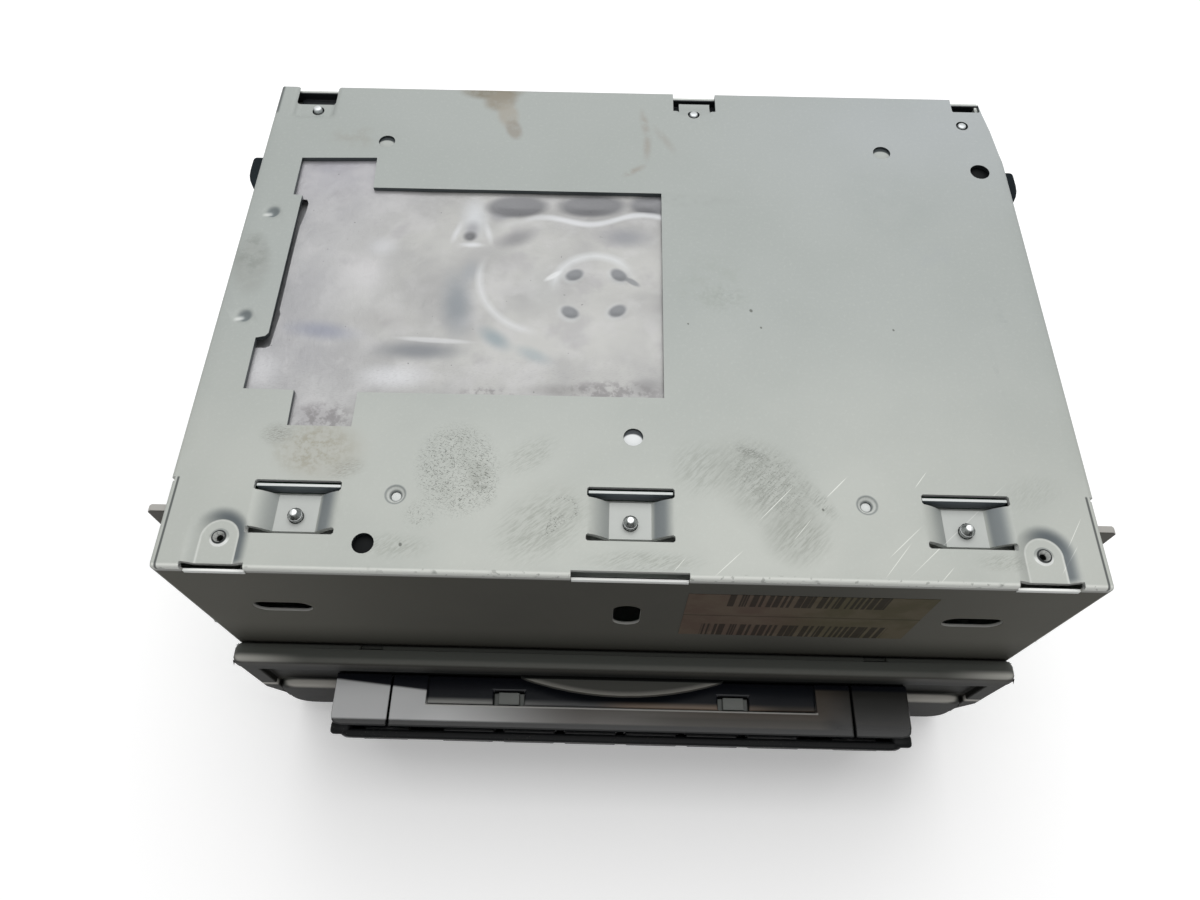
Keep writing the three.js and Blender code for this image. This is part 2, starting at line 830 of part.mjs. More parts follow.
function frontPlate() {
  const foot = sheet + seat;
  const head = under - seat;
  const section = channel(wrapOuter, 0, wrapDepth, wrapWall, bendRadius, 1);
  let plate = prism(section, "z", foot, head);
  const notch = [-overrun, slitDepth, caseHeight - slitDrop, caseHeight];
  const through = (shape) => prism(shape, "y", -overrun, sheet + overrun);
  plate = cut(
    plate,
    boxAt(0, middleSlitHalf, ...notch),
    bothSides.map((side) => boxAt(side * recessX, slitHalf, ...notch)),
    bothSides.map((side) => through(obround(side * slotX, slotZ, slotWidth, slotHeight))),
    through(obround(0, keyholeZ, keyholeWidth, keyholeHeight)),
    boxAt(0, discWindowHalf, -overrun, 2 * sheet, slotFoot - overrun, discSlotTop + overrun),
    cableWindow(-overrun, 2 * sheet),
  );
  const earSlot = box(half, caseWidth, ...earEnds(clear), ...earHeights(clear));
  return join(cut(plate, earSlot, mirrored(earSlot)), shutterLugs(), sideScrews());
}

// The window that the display's cable passes through, from one depth to another.
function cableWindow(from, to) {
  return boxAt(0, cableWindowHalf, from, to, barBottom + barWall, barBottom + cableWindowHeight);
}

function sideWall(side) {
  const x0 = Math.min(side * wallInner, side * wallOuter);
  const x1 = Math.max(side * wallInner, side * wallOuter);
  const front = sheet + clear;
  const rear = rearInner - clear;
  let wall = box(x0, x1, front, rear, sheet + seat, under - seat);
  for (const [y, z] of mountHoleShares) {
    const at = [y * caseDepth, z * caseHeight];
    wall = cut(wall, round("x", mountHole / 2, ...at, x0 - overrun, x1 + overrun));
  }
  for (let index = 0; index < ventCount; index += 1) {
    const y = ventStartShare * caseDepth + index * ventPitch;
    const z = (caseHeight - ventHeight) / 2;
    wall = cut(wall, box(x0 - overrun, x1 + overrun, y, y + ventWidth, z, z + ventHeight));
  }
  for (const share of shelfShares) {
    const y0 = share * caseDepth - shelfWidth / 2;
    const shelf = [y0, y0 + shelfWidth, boardUnder - sheet, boardUnder];
    wall = join(wall, sideBox(side, wallInner - shelfReach, wallOuter, ...shelf));
  }
  return join(wall, bracketScrews(side));
}

function rearPlate() {
  const x1 = wallOuter;
  let plate = box(-x1, x1, rearInner, rearOuter, sheet + seat, under - seat);
  const tabTop = under - seat - rearTabDrop;
  const tabReach = wallInner - rearTabHalf;
  for (const notch of rearNotches) {
    const screwX = notch.screwShares[0] * caseWidth;
    const screwAt = notch.screwShares[1] * caseDepth;
    const x = THREE.MathUtils.clamp(screwX, -tabReach, tabReach);
    const level = [tabTop - sheet, tabTop];
    const tab = boxAt(x, rearTabHalf - seat, rearOuter - rearTabReach, rearOuter, ...level);
    plate = join(plate, tab, screwUp(screwX, screwAt, tabTop - sheet, caseHeight - screwShort));
  }
  const through = [rearInner - overrun, rearOuter + overrun];
  const fanHole = round("y", fanBore, fanX, fanZ, ...through, fineSides);
  const bars = [-1, 0, 1].map((step) => {
    const foot = fanZ + step * fanBore * fanBarShare - grilleThick / 2;
    return boxAt(fanX, fanBore + sheet, rearInner, rearOuter, foot, foot + grilleThick);
  });
  plate = join(cut(plate, fanHole), bars);
  const socketHole = boxAt(
    socketX, socketWidth / 2 + clear, ...through, socketFoot - clear, socketFoot + socketHeight + clear,
  );
  const neckHole = aerialRadius - socketWall + clear;
  const aerialHoles = aerialXs.map((x) => round("y", neckHole, x, aerialZ, ...through));
  return cut(plate, socketHole, aerialHoles);
}

function shieldPlate() {
  const xs = windowShares.map(([x]) => x * caseWidth);
  const ys = windowShares.map(([, y]) => y * caseDepth);
  const x0 = Math.max(Math.min(...xs) - shieldMargin, -wallInner + clear);
  const x1 = Math.max(...xs) + shieldMargin;
  const y0 = Math.min(...ys) - shieldMargin;
  const y1 = Math.max(...ys) + shieldMargin;
  const top = caseHeight - shieldDrop;
  const foot = mainBoardZ + boardThick + seat;
  const wall = shieldWall;
  const inside = box(x0 + wall, x1 - wall, y0 + wall, y1 - wall, foot - overrun, top - wall);
  let plate = cut(box(x0, x1, y0, y1, foot, top), inside);
  for (const [x, y] of dentShares) {
    const ball = new THREE.SphereGeometry(dentRadius, coarseSides, coarseSides);
    ball.translate(x * caseWidth, y * caseDepth, top + dentRadius - dentDepth);
    plate = cut(plate, solid(ball));
  }
  return plate;
}

// A screw that points up: its head below z0, its tip at z1.
function screwUp(x, y, z0, z1) {
  const tip = round("z", screwRadius, x, y, z1 - screwRadius, z1, coarseSides, screwRadius / 2);
  const shank = round("z", screwRadius, x, y, z0 - seat, z1 - screwRadius + seat / 2);
  const head = round("z", screwHead, x, y, z0 - screwHeadHeight, z0);
  return join(head, shank, tip);
}

function bridgeScrew() {
  return screwUp(0, screwY, caseHeight - bridgeDrop - 2 * sheet - 2 * seat, caseHeight - screwShort);
}

function frontStay() {
  const top = caseHeight - bridgeDrop - sheet - seat;
  let stay = join(
    boxAt(0, stayHalf, stayFront, stayFront + stayDepth, top - sheet, top),
    boxAt(0, stayHalf, stayFront, stayFront + sheet, top - stayFlange, top),
  );
  for (const step of [-1, 0, 1]) {
    stay = cut(stay, round("z", screwRadius + clear, step * bridgeSpacing, screwY, 0, caseHeight));
  }
  return cut(stay, prism(obround(0, keyholeZ, keyholeWidth, keyholeHeight), "y", 0, stayDepth));
}

// The front and rear of an ear, and its foot and head, each moved outward by the room around it.
function earEnds(room) {
  return [earFront - room, earFront + earSheet + room];
}

function earHeights(room) {
  const head = caseHeight - earDrop;
  return [head - earHeight - room, head + room];
}

// A strip bent square: its foot lies between wall and front plate, its ear stands out through a slot.
function sideEar(side) {
  const root = wallOuter + clear;
  const footEnd = half + seat - clear;
  const [front, rear] = earEnds(0);
  const foot = box(root, footEnd, front, rear + earFoot, ...earHeights(0));
  const tip = wrapOuter + earReach;
  const [low, high] = earHeights(0);
  const outline = polygon([
    [root, low],
    [tip - earBevel, low],
    [tip, low + earBevel],
    [tip, high - earBevel],
    [tip - earBevel, high],
    [root, high],
  ]);
  const ear = join(foot, prism(outline, "y", front, rear));
  return side > 0 ? ear : mirrored(ear);
}

function mirrored(shape) {
  const geometry = bufferOf(shape.getMesh()).rotateY(Math.PI);
  const index = geometry.index.array;
  geometry.scale(1, 1, -1);
  for (let corner = 0; corner < index.length; corner += 3) {
    [index[corner], index[corner + 1]] = [index[corner + 1], index[corner]];
  }
  return solid(geometry);
}

function sideBumper(side) {
  const shape = new THREE.Shape();
  const root = coverHalf + seat;
  const tip = root + bumperReach;
  const rear = bumperY + bumperHeel;
  shape.moveTo(root, bumperY - bumperRamp);
  shape.quadraticCurveTo(tip, bumperY - bumperRoundShare * bumperRamp, tip, bumperY);
  shape.lineTo(tip, rear - bumperCorner);
  shape.quadraticCurveTo(tip, rear, tip - bumperCorner, rear);
  shape.lineTo(root, rear);
  const top = caseHeight - bumperDrop;
  const bumper = prism(shape, "z", top - bumperHeight, top, softEdge / 2, sweepSteps);
  return side > 0 ? bumper : mirrored(bumper);
}

function sideScrews() {
  const z = caseHeight - sideScrewDrop;
  const root = wrapOuter - seat;
  const end = wrapOuter + sideScrewHeight;
  const screw = round("x", sideScrewHead, sideScrewY, z, root, end, coarseSides, screwHead);
  return join(screw, mirrored(screw));
}

function fasciaFrame() {
  const upper = prism(
    roundRect(-fasciaHalf, fasciaHalf, fasciaTop - railHeight, fasciaTop, railRadius),
    "y", railFront, -seat, softEdge,
  );
  const lower = prism(
    roundRect(-lowerRailHalf, lowerRailHalf, fasciaBottom, lowerRailTop, lowerRailRadius),
    "y", railFront, -seat, softEdge,
  );
  const bandHalf = fasciaHalf - railRadius;
  const bandFoot = fasciaBottom + railRadius;
  const bandShape = roundRect(-bandHalf, bandHalf, bandFoot, fasciaTop - railRadius, railRadius);
  const band = prism(bandShape, "y", bandFront, -seat);
  const posts = bothSides.map((side) => {
    const [inner, outer] = [side * (fasciaHalf - endPostWidth), side * fasciaHalf];
    const head = fasciaTop - railRadius;
    const post = [[inner, endPostFoot], [outer, endPostFoot + endPostSlant], [outer, head], [inner, head]];
    return prism(polygon(post), "y", -seat - endPostDepth, -seat);
  });
  const lipFoot = discSlotTop + seat;
  const crescent = new THREE.Shape();
  crescent.moveTo(-lipHalf, bandFront);
  crescent.lineTo(-lipHalf, railFront);
  crescent.quadraticCurveTo(0, railFront - 2 * lipReach, lipHalf, railFront);
  crescent.lineTo(lipHalf, bandFront);
  const lip = prism(crescent, "z", lipFoot, lipFoot + lipThick, 0, 2 * sweepSteps);
  const notch = [-seat - ledgeNotchDepth, overrun, fasciaTop - ledgeNotchDepth, fasciaTop + overrun];
  return cut(
    join(upper, lower, band, lip, ...posts),
    boxAt(0, discSlotHalf, railFront - barFront, overrun, slotFoot, discSlotTop),
    cableWindow(railFront - overrun, overrun),
    bothSides.map((side) => boxAt(side * ledgeNotchX, ledgeNotchWidth / 2, ...notch)),
  );
}

// The bar's front leans back towards its foot: the place of its face at height z, as a Y.
function leanAt(z) {
  const head = barTop - bezelHeadInset - softEdge;
  return -barFront + (barLean * (head - z)) / (head - barBottom);
}

// A slab that follows the lean, between two depths behind the front.
function leaning(x0, x1, z0, z1, from, to) {
  const shape = polygon([
    [leanAt(z0) + from, z0],
    [leanAt(z0) + to, z0],
    [leanAt(z1) + to, z1],
    [leanAt(z1) + from, z1],
  ]);
  return prism(shape, "x", x0, x1);
}

function barPlan(halfWidth, front, corner) {
  const shape = new THREE.Shape();
  shape.moveTo(-halfWidth, -barRoot);
  shape.lineTo(-halfWidth, -front + corner);
  shape.quadraticCurveTo(-halfWidth, -front, -halfWidth + corner, -front);
  shape.lineTo(halfWidth - corner, -front);
  shape.quadraticCurveTo(halfWidth, -front, halfWidth, -front + corner);
  shape.lineTo(halfWidth, -barRoot);
  return shape;
}

function barHousing() {
  const body = common(
    prism(barPlan(barHalf, faceEnd, barCorner), "z", barBottom, barTop),
    leaning(-barHalf, barHalf, barBottom, barTop, bezelThick + seat, barFront),
  );
  const railSpace = boxAt(0, fasciaHalf, railFront - seat, 0, 0, lowerRailTop + seat);
  const backWall = railFront - seat - barWall;
  const inner = barHalf - barWall;
  const hollow = leaning(-inner, inner, barBottom + barWall, barTop - barWall, -overrun, barFront);
  const inFront = boxAt(0, barHalf, -barFront - overrun, backWall, 0, barTop);
  const faceSeat = boxAt(0, faceHalf, -barFront - overrun, 0, barTop - barWall - seat, barTop + overrun);
  const clipReach = clipX + 2 * clipHalf;
  const clipSpace = boxAt(0, clipReach, -barFront, -clipBack, barTop - 3 * barWall, barTop);
  return cut(body, railSpace, common(hollow, inFront), faceSeat, cableWindow(-barFront, 0), clipSpace);
}

function barFace() {
  const plate = boxAt(0, faceHalf - clear, -faceEnd, bandFront - clear, barTop - barWall, barTop);
  const window = [-clipFront, -clipBack, 0, barTop + overrun];
  return cut(
    plate,
    boxAt(0, facePocketHalf, -facePocketEnd, 0, barTop - facePocketDepth, barTop + overrun),
    bothSides.map((side) => boxAt(side * clipX, clipHalf, ...window)),
  );
}

function barClips() {
  const depth = [-clipFront + clear, -clipBack - clear];
  const foot = barTop - 2 * barWall;
  const top = barTop - facePocketDepth - seat;
  return join(
    bothSides.map((side) => boxAt(side * clipX, clipHalf - tongueInset, ...depth, foot, top)),
    boxAt(0, clipX + clipHalf, ...depth, foot - sheet, barTop - barWall - clear),
  );
}

function keyX(index) {
  return (index - (keyNames.length - 1) / 2) * keyPitch;
}

function barBezel() {
  const head = barTop - bezelHeadInset;
  const plan = new THREE.Shape();
  plan.moveTo(-bezelHalf, 0);
  plan.lineTo(-bezelHalf, -barFront + bezelEndDepth);
  plan.quadraticCurveTo(-bezelHalf, -barFront, -bezelHalf + 2 * bezelEndDepth, -barFront);
  plan.lineTo(bezelHalf - 2 * bezelEndDepth, -barFront);
  plan.quadraticCurveTo(bezelHalf, -barFront, bezelHalf, -barFront + bezelEndDepth);
  plan.lineTo(bezelHalf, 0);
  const through = [-2 * barFront, 0];
  const rounded = prism(roundRect(-bezelHalf, bezelHalf, barBottom, head, barCorner), "y", ...through);
  const slab = leaning(-bezelHalf, bezelHalf, barBottom, head, 0, bezelThick);
  const planned = prism(plan, "z", barBottom, head, 0, sweepSteps);
  const lensHole = boxAt(0, lensHalf, ...through, lensFoot, lensHead);
  const keyHoles = keyNames.map((name, index) =>
    boxAt(keyX(index), keyWidth / 2 + clear, ...through, keyFoot - clear, keyHead + clear),
  );
  const rockerSpan = [rockerFoot - 2 * clear, rockerHead + 2 * clear];
  const rockerHoles = bothSides.map((side) =>
    boxAt(side * rockerX, rockerHalf + clear, ...through, ...rockerSpan),
  );
  return cut(common(rounded, slab, planned), lensHole, keyHoles, rockerHoles);
}

function displayLens() {
  return leaning(
    -lensHalf + clear, lensHalf - clear, lensFoot + clear, lensHead - clear, 0, lensThick,
  );
}

function displayPanel() {
  const from = bezelThick + seat;
  const lip = panelMargin;
  const back = leaning(
    -lensHalf - lip, lensHalf + lip, lensFoot - lip / 2, lensHead + lip / 2, from, from + panelThick,
  );
  const front = leaning(
    -lensHalf + clear, lensHalf - clear, lensFoot + clear, lensHead - clear, lensThick + seat, from + seat,
  );
  return join(back, front);
}

function keyBoard() {
  return leaning(
    -keyBoardHalf, keyBoardHalf, rockerFoot + 2 * clear, barTop - 2 * barWall - sheet - 3 * clear,
    keyBoardSetback, keyBoardSetback + keyBoardThick,
  );
}

function keyCap() {
  const wide = keyWidth / 2;
  const flangeFrom = bezelThick + clear;
  const flangeTo = flangeFrom + keyFlangeThick;
  const middle = (keyFoot + keyHead) / 2;
  return join(
    leaning(-wide, wide, keyFoot, keyHead, -keyProud, flangeTo),
    leaning(-wide - keyFlange, wide + keyFlange, keyFoot, keyHead, flangeFrom, flangeTo),
    leaning(
      -keyStemHalf, keyStemHalf, middle - keyStemHalf, middle + keyStemHalf,
      flangeTo - seat, keyBoardSetback - keyTravel - clear,
    ),
  );
}

function rockerCap() {
  const middle = (rockerFoot + rockerHead) / 2;
  const backTo = bezelThick + keyFlangeThick;
  return join(
    leaning(-rockerHalf, rockerHalf, rockerFoot, rockerHead, -keyProud, backTo),
    leaning(
      -rockerHalf, rockerHalf, middle - keyStemHalf / 2, middle + keyStemHalf / 2,
      backTo - seat, keyBoardSetback - clear,
    ),
  );
}

function slotShutter() {
  const pinZ = discSlotTop + shutterPin + clear;
  const front = shutterY - shutterThick / 2;
  const flap = boxAt(0, shutterHalf, front, front + shutterThick, slotFoot + clear, pinZ);
  const pinHalf = discWindowHalf + 2 * sheet;
  const pin = round("x", shutterPin, shutterY, pinZ, -pinHalf, pinHalf);
  return join(flap, pin);
}

function shutterLugs() {
  const pinZ = discSlotTop + shutterPin + clear;
  const reach = shutterPin + sheet;
  const lug = cut(
    box(
      discWindowHalf, discWindowHalf + 2 * sheet, sheet - seat, shutterY + reach, pinZ - reach, pinZ + reach,
    ),
    round("x", shutterPin + clear, shutterY, pinZ, 0, caseWidth),
  );
  return join(lug, mirrored(lug));
}

// Mechanism pieces are drawn about the middle of the seated disc.
function mechanismDeck() {
  const top = deckHeight + sheet;
  let deck = box(-deckHalf, deckHalf, -deckFront, deckRear, deckHeight, top);
  for (const [x, y] of lighteningShares) {
    const at = [x * 2 * deckHalf, y * (y < 0 ? deckFront : deckRear)];
    deck = cut(deck, round("z", lighteningRadius, ...at, 0, top + overrun));
  }
  const gearPlateRear = -rollerY + gearRadius(rollerTeeth) + 3 * gearRadius(idlerTeeth);
  const edge = [deckHalf - sheet, deckHalf];
  const gearPlate = box(...edge, -deckFront, gearPlateRear, -discHalfThick, gearPlateTop);
  const leftPlate = sideBox(-1, ...edge, -deckFront, -deckFront + endPlateReach, -discHalfThick, top);
  const posts = [];
  for (const y of [-railY, railY]) {
    for (const x of [-deckHalf + sheet, sledHome - sledHalf - sheet]) {
      posts.push(box(x, x + postThick, y - postHalf, y + postHalf, railZ - postHalf, top - seat));
    }
  }
  const screwPost = box(
    -sledHome + sledHalf + sheet, -sledHome + sledHalf + sheet + postThick,
    screwRodY - postHalf, screwRodY + postHalf, railZ - postHalf, top - seat,
  );
  const motorFlange = box(
    -deckHalf, -deckHalf + sheet, screwRodY - motorFlangeHalf, screwRodY + motorFlangeHalf,
    railZ - motorFlangeHalf, top - seat,
  );
  const ear = [armHingeY - earHalf, armHingeY + earHalf, -armDrop - earHalf, top - seat];
  const earFrom = armRootHalf + clear;
  const ears = bothSides.map((side) => sideBox(side, earFrom, earFrom + earWall, ...ear));
  deck = join(deck, gearPlate, leftPlate, posts, screwPost, motorFlange, ears);
  const [idlerY, idlerZ] = idlerPlace();
  const [pinionY, pinionZ] = pinionPlace();
  const all = [-caseWidth, caseWidth];
  const rods = [-railY, railY].map((y) => round("x", rodRadius + clear, y, railZ, ...all));
  const notchFrom = fanX - fanSize / 2 - fanNotchGap;
  const notchFront = rearInner - clear - fanDepth - fanNotchGap - discCentreY;
  return cut(
    deck,
    box(notchFrom, caseWidth, notchFront, caseDepth, 0, top + overrun),
    rods.map((rod) => common(rod, box(-deckHalf, deckHalf, -discRadius, discRadius, 0, deckHeight))),
    round("x", screwRodRadius + clear, screwRodY, railZ, -deckHalf - overrun, 0),
    round("x", rollerShaft + clear, -rollerY, rollerZ(), ...all),
    round("x", armPinRadius + clear, armHingeY, -armDrop, ...all),
    round("x", rollerShaft + clear, idlerY, idlerZ, 0, caseWidth),
    round("x", motorShaft + clear, pinionY, pinionZ, 0, caseWidth),
  );
}

function rollerZ() {
  return discHalfThick + seat + rollerRadius;
}

function gearRadius(teeth) {
  return (teeth * gearModule) / 2;
}

function offsetAt(distance, degrees) {
  const angle = THREE.MathUtils.degToRad(degrees);
  return [distance * Math.cos(angle), distance * Math.sin(angle)];
}

function idlerPlace() {
  const distance = gearRadius(rollerTeeth) + gearRadius(idlerTeeth) + seat;
  const [dy, dz] = offsetAt(distance, idlerDegrees);
  return [-rollerY + dy, rollerZ() + dz];
}

function pinionPlace() {
  const [idlerY, idlerZ] = idlerPlace();
  const distance = gearRadius(idlerTeeth) + gearRadius(pinionTeeth) + seat;
  const [dy, dz] = offsetAt(distance, pinionDegrees);
  return [idlerY + dy, idlerZ + dz];
}

// A spur gear about the X axis: each tooth narrows from its root to its tip.
function gear(teeth, from, to, turn) {
  const pitch = gearRadius(teeth);
  const footRadius = pitch - toothFootShare * gearModule;
  const headRadius = pitch + toothHeadShare * gearModule;
  const radii = [footRadius, headRadius, headRadius, footRadius];
  const points = [];
  for (let tooth = 0; tooth < teeth; tooth += 1) {
    toothEdgeShares.forEach((share, index) => {
      const angle = ((tooth + share + turn) * 2 * Math.PI) / teeth;
      points.push([radii[index] * Math.cos(angle), radii[index] * Math.sin(angle)]);
    });
  }
  return prism(polygon(points), "x", from, to);
}

function turntable() {
  const top = discHalfThick + tableThick;
  return turned([
    [0, -hubReach],
    [hubRadius - sheet, -hubReach],
    [hubRadius, -hubReach + sheet],
    [hubRadius, discHalfThick],
    [tableRadius, discHalfThick],
    [tableRadius, top],
    [spindleRadius, top],
    [spindleRadius, deckHeight - seat - spindleMotorHeight - clear],
    [0, deckHeight - seat - spindleMotorHeight - clear],
  ]);
}

function spindleMotor() {
  const top = deckHeight - seat;
  return turned([
    [0, top - spindleMotorHeight],
    [spindleMotorRadius - sheet, top - spindleMotorHeight],
    [spindleMotorRadius, top - spindleMotorHeight + sheet],
    [spindleMotorRadius, top],
    [0, top],
  ]);
}

function clampPuck() {
  const armTop = -armDrop + armThick / 2 + clear;
  const armFoot = -armDrop - armThick / 2 - clear;
  const hollow = -hubReach - clear;
  const rim = discHalfThick - clear;
  return turned([
    [0, armFoot - sheet],
    [puckCap, armFoot - sheet],
    [puckCap, armFoot],
    [puckNeck, armFoot],
    [puckNeck, armTop],
    [puckRadius, armTop],
    [puckRadius, rim],
    [hubRadius + puckRecess, rim],
    [hubRadius + puckRecess, hollow],
    [0, hollow],
  ]);
}

// Drawn with its hinge pin at the origin.
function clampArm() {
  const shape = new THREE.Shape();
  const front = -armHingeY - armFront;
  shape.moveTo(-armRootHalf, 0);
  shape.lineTo(-armHalf, -armHingeY + armFront);
  shape.lineTo(-armHalf, -armHingeY);
  shape.quadraticCurveTo(-armHalf, front, 0, front);
  shape.quadraticCurveTo(armHalf, front, armHalf, -armHingeY);
  shape.lineTo(armHalf, -armHingeY + armFront);
  shape.lineTo(armRootHalf, 0);
  const plate = prism(shape, "z", -armThick / 2, armThick / 2);
  const pinEnd = armRootHalf + 2 * earWall + clear;
  const pin = round("x", armPinRadius, 0, 0, -pinEnd, pinEnd);
  const hole = round("z", puckNeck + clear, 0, -armHingeY, -overrun, overrun, fineSides);
  const rib = [-armHingeY + puckRadius + sheet, -armThick, -2 * armThick, 0];
  const ribs = bothSides.map((side) => boxAt(side * (armHalf / 2), armThick / 2, ...rib));
  return join(cut(plate, hole), pin, ribs);
}

function pickupSled() {
  let sled = box(-sledHalf, sledHalf, -sledReach, sledReach, sledUnder, sledUnder + sledThick);
  const waistFrom = sledReach / 4;
  const waistTo = railY - 2 * rodRadius;
  const waist = [sledHalf / 3, sledHalf + overrun];
  sled = cut(
    sled,
    box(...waist, -waistTo, -waistFrom, 0, deckHeight),
    box(...waist, waistFrom, waistTo, 0, deckHeight),
  );
  const boss = round("z", lensBossRadius, 0, 0, sledUnder - lensBossHeight, sledUnder + seat, fineSides);
  const nutEnd = screwRodY - screwRodRadius - clear;
  const nut = box(-nutHalf, nutHalf, sledReach - seat, nutEnd, railZ - rodRadius, railZ + rodRadius);
  sled = join(sled, boss, nut);
  const well = round("z", lensRadius + clear, 0, 0, 0, sledUnder + seat, fineSides);
  const bores = [-railY, railY].map((y) => round("x", rodRadius + clear, y, railZ, -caseWidth, caseWidth));
  return cut(sled, well, bores);
}

function pickupLens() {
  const foot = sledUnder - lensBossHeight;
  return turned(
    [
      [0, foot - lensDome / 2],
      [lensRadius * lensCrownShare, foot - lensDome / 3],
      [lensRadius, foot],
      [lensRadius, sledUnder - clear / 2],
      [0, sledUnder - clear / 2],
    ],
    coarseSides,
  );
}

function guideRod() {
  const x0 = -deckHalf + sheet + clear;
  const x1 = sledHome - sledHalf - sheet + postThick;
  return round("x", rodRadius, 0, 0, x0, x1);
}

// The lead screw: a lobed section that turns as it runs along the screw.
function leadScrew() {
  const section = new THREE.Shape();
  const deep = screwRodRadius * screwRodDeepShare;
  for (let corner = 0; corner < screwRodLobes; corner += 1) {
    const angle = (corner * 2 * Math.PI) / screwRodLobes;
    const high = (1 + Math.cos(angle)) / 2;
    const radius = deep + (screwRodRadius - deep) * high;
    const place = [radius * Math.cos(angle), radius * Math.sin(angle)];
    if (corner === 0) section.moveTo(...place);
    else section.lineTo(...place);
  }
  const x0 = -deckHalf - sheet;
  const x1 = -sledHome + sledHalf + sheet + postThick / 2;
  const length = x1 - x0;
  const geometry = new THREE.ExtrudeGeometry(section, {
    depth: length,
    steps: screwRodSteps,
    bevelEnabled: false,
  });
  const spots = geometry.attributes.position;
  const spot = new THREE.Vector3();
  const along = new THREE.Vector3(0, 0, 1);
  for (let index = 0; index < spots.count; index += 1) {
    spot.fromBufferAttribute(spots, index);
    spot.applyAxisAngle(along, (spot.z / length) * screwRodTurns * 2 * Math.PI);
    spots.setXYZ(index, spot.x, spot.y, spot.z);
  }
  geometry.rotateY(Math.PI / 2).rotateX(Math.PI / 2);
  return solid(geometry.translate(x0, screwRodY, railZ));
}

function sledMotor() {
  const x1 = -deckHalf - clear;
  const x0 = x1 - sledMotorLength;
  const can = round("x", sledMotorRadius, screwRodY, railZ, x0, x1 - sheet);
  const boss = round("x", sledMotorRadius / 2, screwRodY, railZ, x1 - sheet - seat, x1);
  const shaftHole = round("x", screwRodRadius + clear, screwRodY, railZ, x1 - 3 * sheet, x1 + overrun);
  return cut(join(can, boss), shaftHole);
}

function loadingRoller() {
  const waist = rollerRadius * rollerWaistShare;
  const profile = [
    [rollerShaft + seat, -rollerHalf],
    [rollerRadius, -rollerHalf],
    [waist, 0],
    [rollerRadius, rollerHalf],
    [rollerShaft + seat, rollerHalf],
    [rollerShaft + seat, -rollerHalf],
  ];
  const points = profile.map(([radius, height]) => new THREE.Vector2(radius, height));
  const geometry = new THREE.LatheGeometry(points, coarseSides).rotateZ(-Math.PI / 2);
  return solid(geometry);
}

function rollerGear() {
  const axle = round("x", rollerShaft, 0, 0, -deckHalf - sheet, deckHalf + 2 * sheet + gearWidth);
  return join(gearOnShaft(rollerTeeth, 0), axle);
}

// How far a gear is turned, in teeth, to mesh with the one that is turned by turnBefore.
function meshedTurn(teethBefore, turnBefore, teeth, degrees) {
  const phase = (degrees * teethBefore) / 360 - turnBefore;
  return ((degrees + 180) * teeth) / 360 + phase - 0.5;
}

function gearOnShaft(teeth, turn) {
  const from = deckHalf + clear;
  return gear(teeth, from, from + gearWidth, turn);
}

function idlerTurn() {
  return meshedTurn(rollerTeeth, 0, idlerTeeth, idlerDegrees);
}

function idlerGear() {
  const shaft = round("x", rollerShaft, 0, 0, deckHalf - 3 * sheet, deckHalf + clear + gearWidth + sheet);
  return join(gearOnShaft(idlerTeeth, idlerTurn()), shaft);
}

function motorPinion() {
  const shaft = round("x", motorShaft, 0, 0, deckHalf - 2 * sheet, deckHalf + clear + gearWidth + sheet);
  const turn = meshedTurn(idlerTeeth, idlerTurn(), pinionTeeth, pinionDegrees);
  return join(gearOnShaft(pinionTeeth, turn), shaft);
}

function loadingMotor() {
  const x1 = deckHalf - sheet - clear;
  const x0 = x1 - loadingMotorLength;
  const can = round("x", loadingMotorRadius, 0, 0, x0, x1);
  const stub = round("x", 2 * motorShaft, 0, 0, x0 - sheet, x0 + seat);
  const shaftHole = round("x", motorShaft + clear, 0, 0, x1 - 3 * sheet, x1 + overrun);
  return cut(join(can, stub), shaftHole);
}

function discGuide() {
  const top = -discHalfThick - sheet;
  const shape = roundRect(-guideHalf, guideHalf, -guideFront, -guideFront + guideLength, postHalf);
  const plate = prism(shape, "z", top - guideThick, top);
  const depth = [-guideFront + sheet, -guideFront + guideLength - sheet];
  const level = [mapTop() - discPlane, top - seat];
  const legs = bothSides.map((side) => boxAt(side * (guideHalf - postHalf), sheet, ...depth, ...level));
  return join(plate, legs);
}

function mapTop() {
  return mapBoardZ + boardThick + clear;
}

function dampers(side) {
  const foot = deckHeight + sheet + seat;
  const waist = damperRadius * damperWaistShare;
  const profile = [
    [0, foot],
    [damperRadius, foot],
    [waist, foot + damperHeight / 2],
    [damperRadius, foot + damperHeight],
    [0, foot + damperHeight],
  ];
  const one = turned(profile, coarseSides);
  return damperYs().map((y) => moved(one, side * damperX, y, 0));
}

function damperYs() {
  return damperShares.map((share) => -bracketFront + share * (bracketFront + bracketRear));
}

function deckBracket(side) {
  const foot = deckHeight + sheet + damperHeight;
  const outer = wallInner - clear;
  const depth = [-bracketFront, bracketRear];
  const shelf = sideBox(side, bracketInner, outer, ...depth, foot, foot + sheet);
  const flange = sideBox(side, outer - sheet, outer, ...depth, foot, foot + bracketFlange);
  return join(shelf, flange, dampers(side));
}

function mainBoard() {
  const level = [mainBoardZ, mainBoardZ + boardThick];
  const slab = boxAt(0, mainBoardHalf, mainBoardFront, mainBoardRear, ...level);
  return join(slab, chipSet(mainChipShares, mainBoardZ - chipThick), capacitors());
}

function mapBoard() {
  const level = [mapBoardZ, mapBoardZ + boardThick];
  const slab = boxAt(0, mapBoardHalf, mapBoardFront, mapBoardRear, ...level);
  return join(slab, chipSet(mapChipShares, mapBoardZ + boardThick));
}

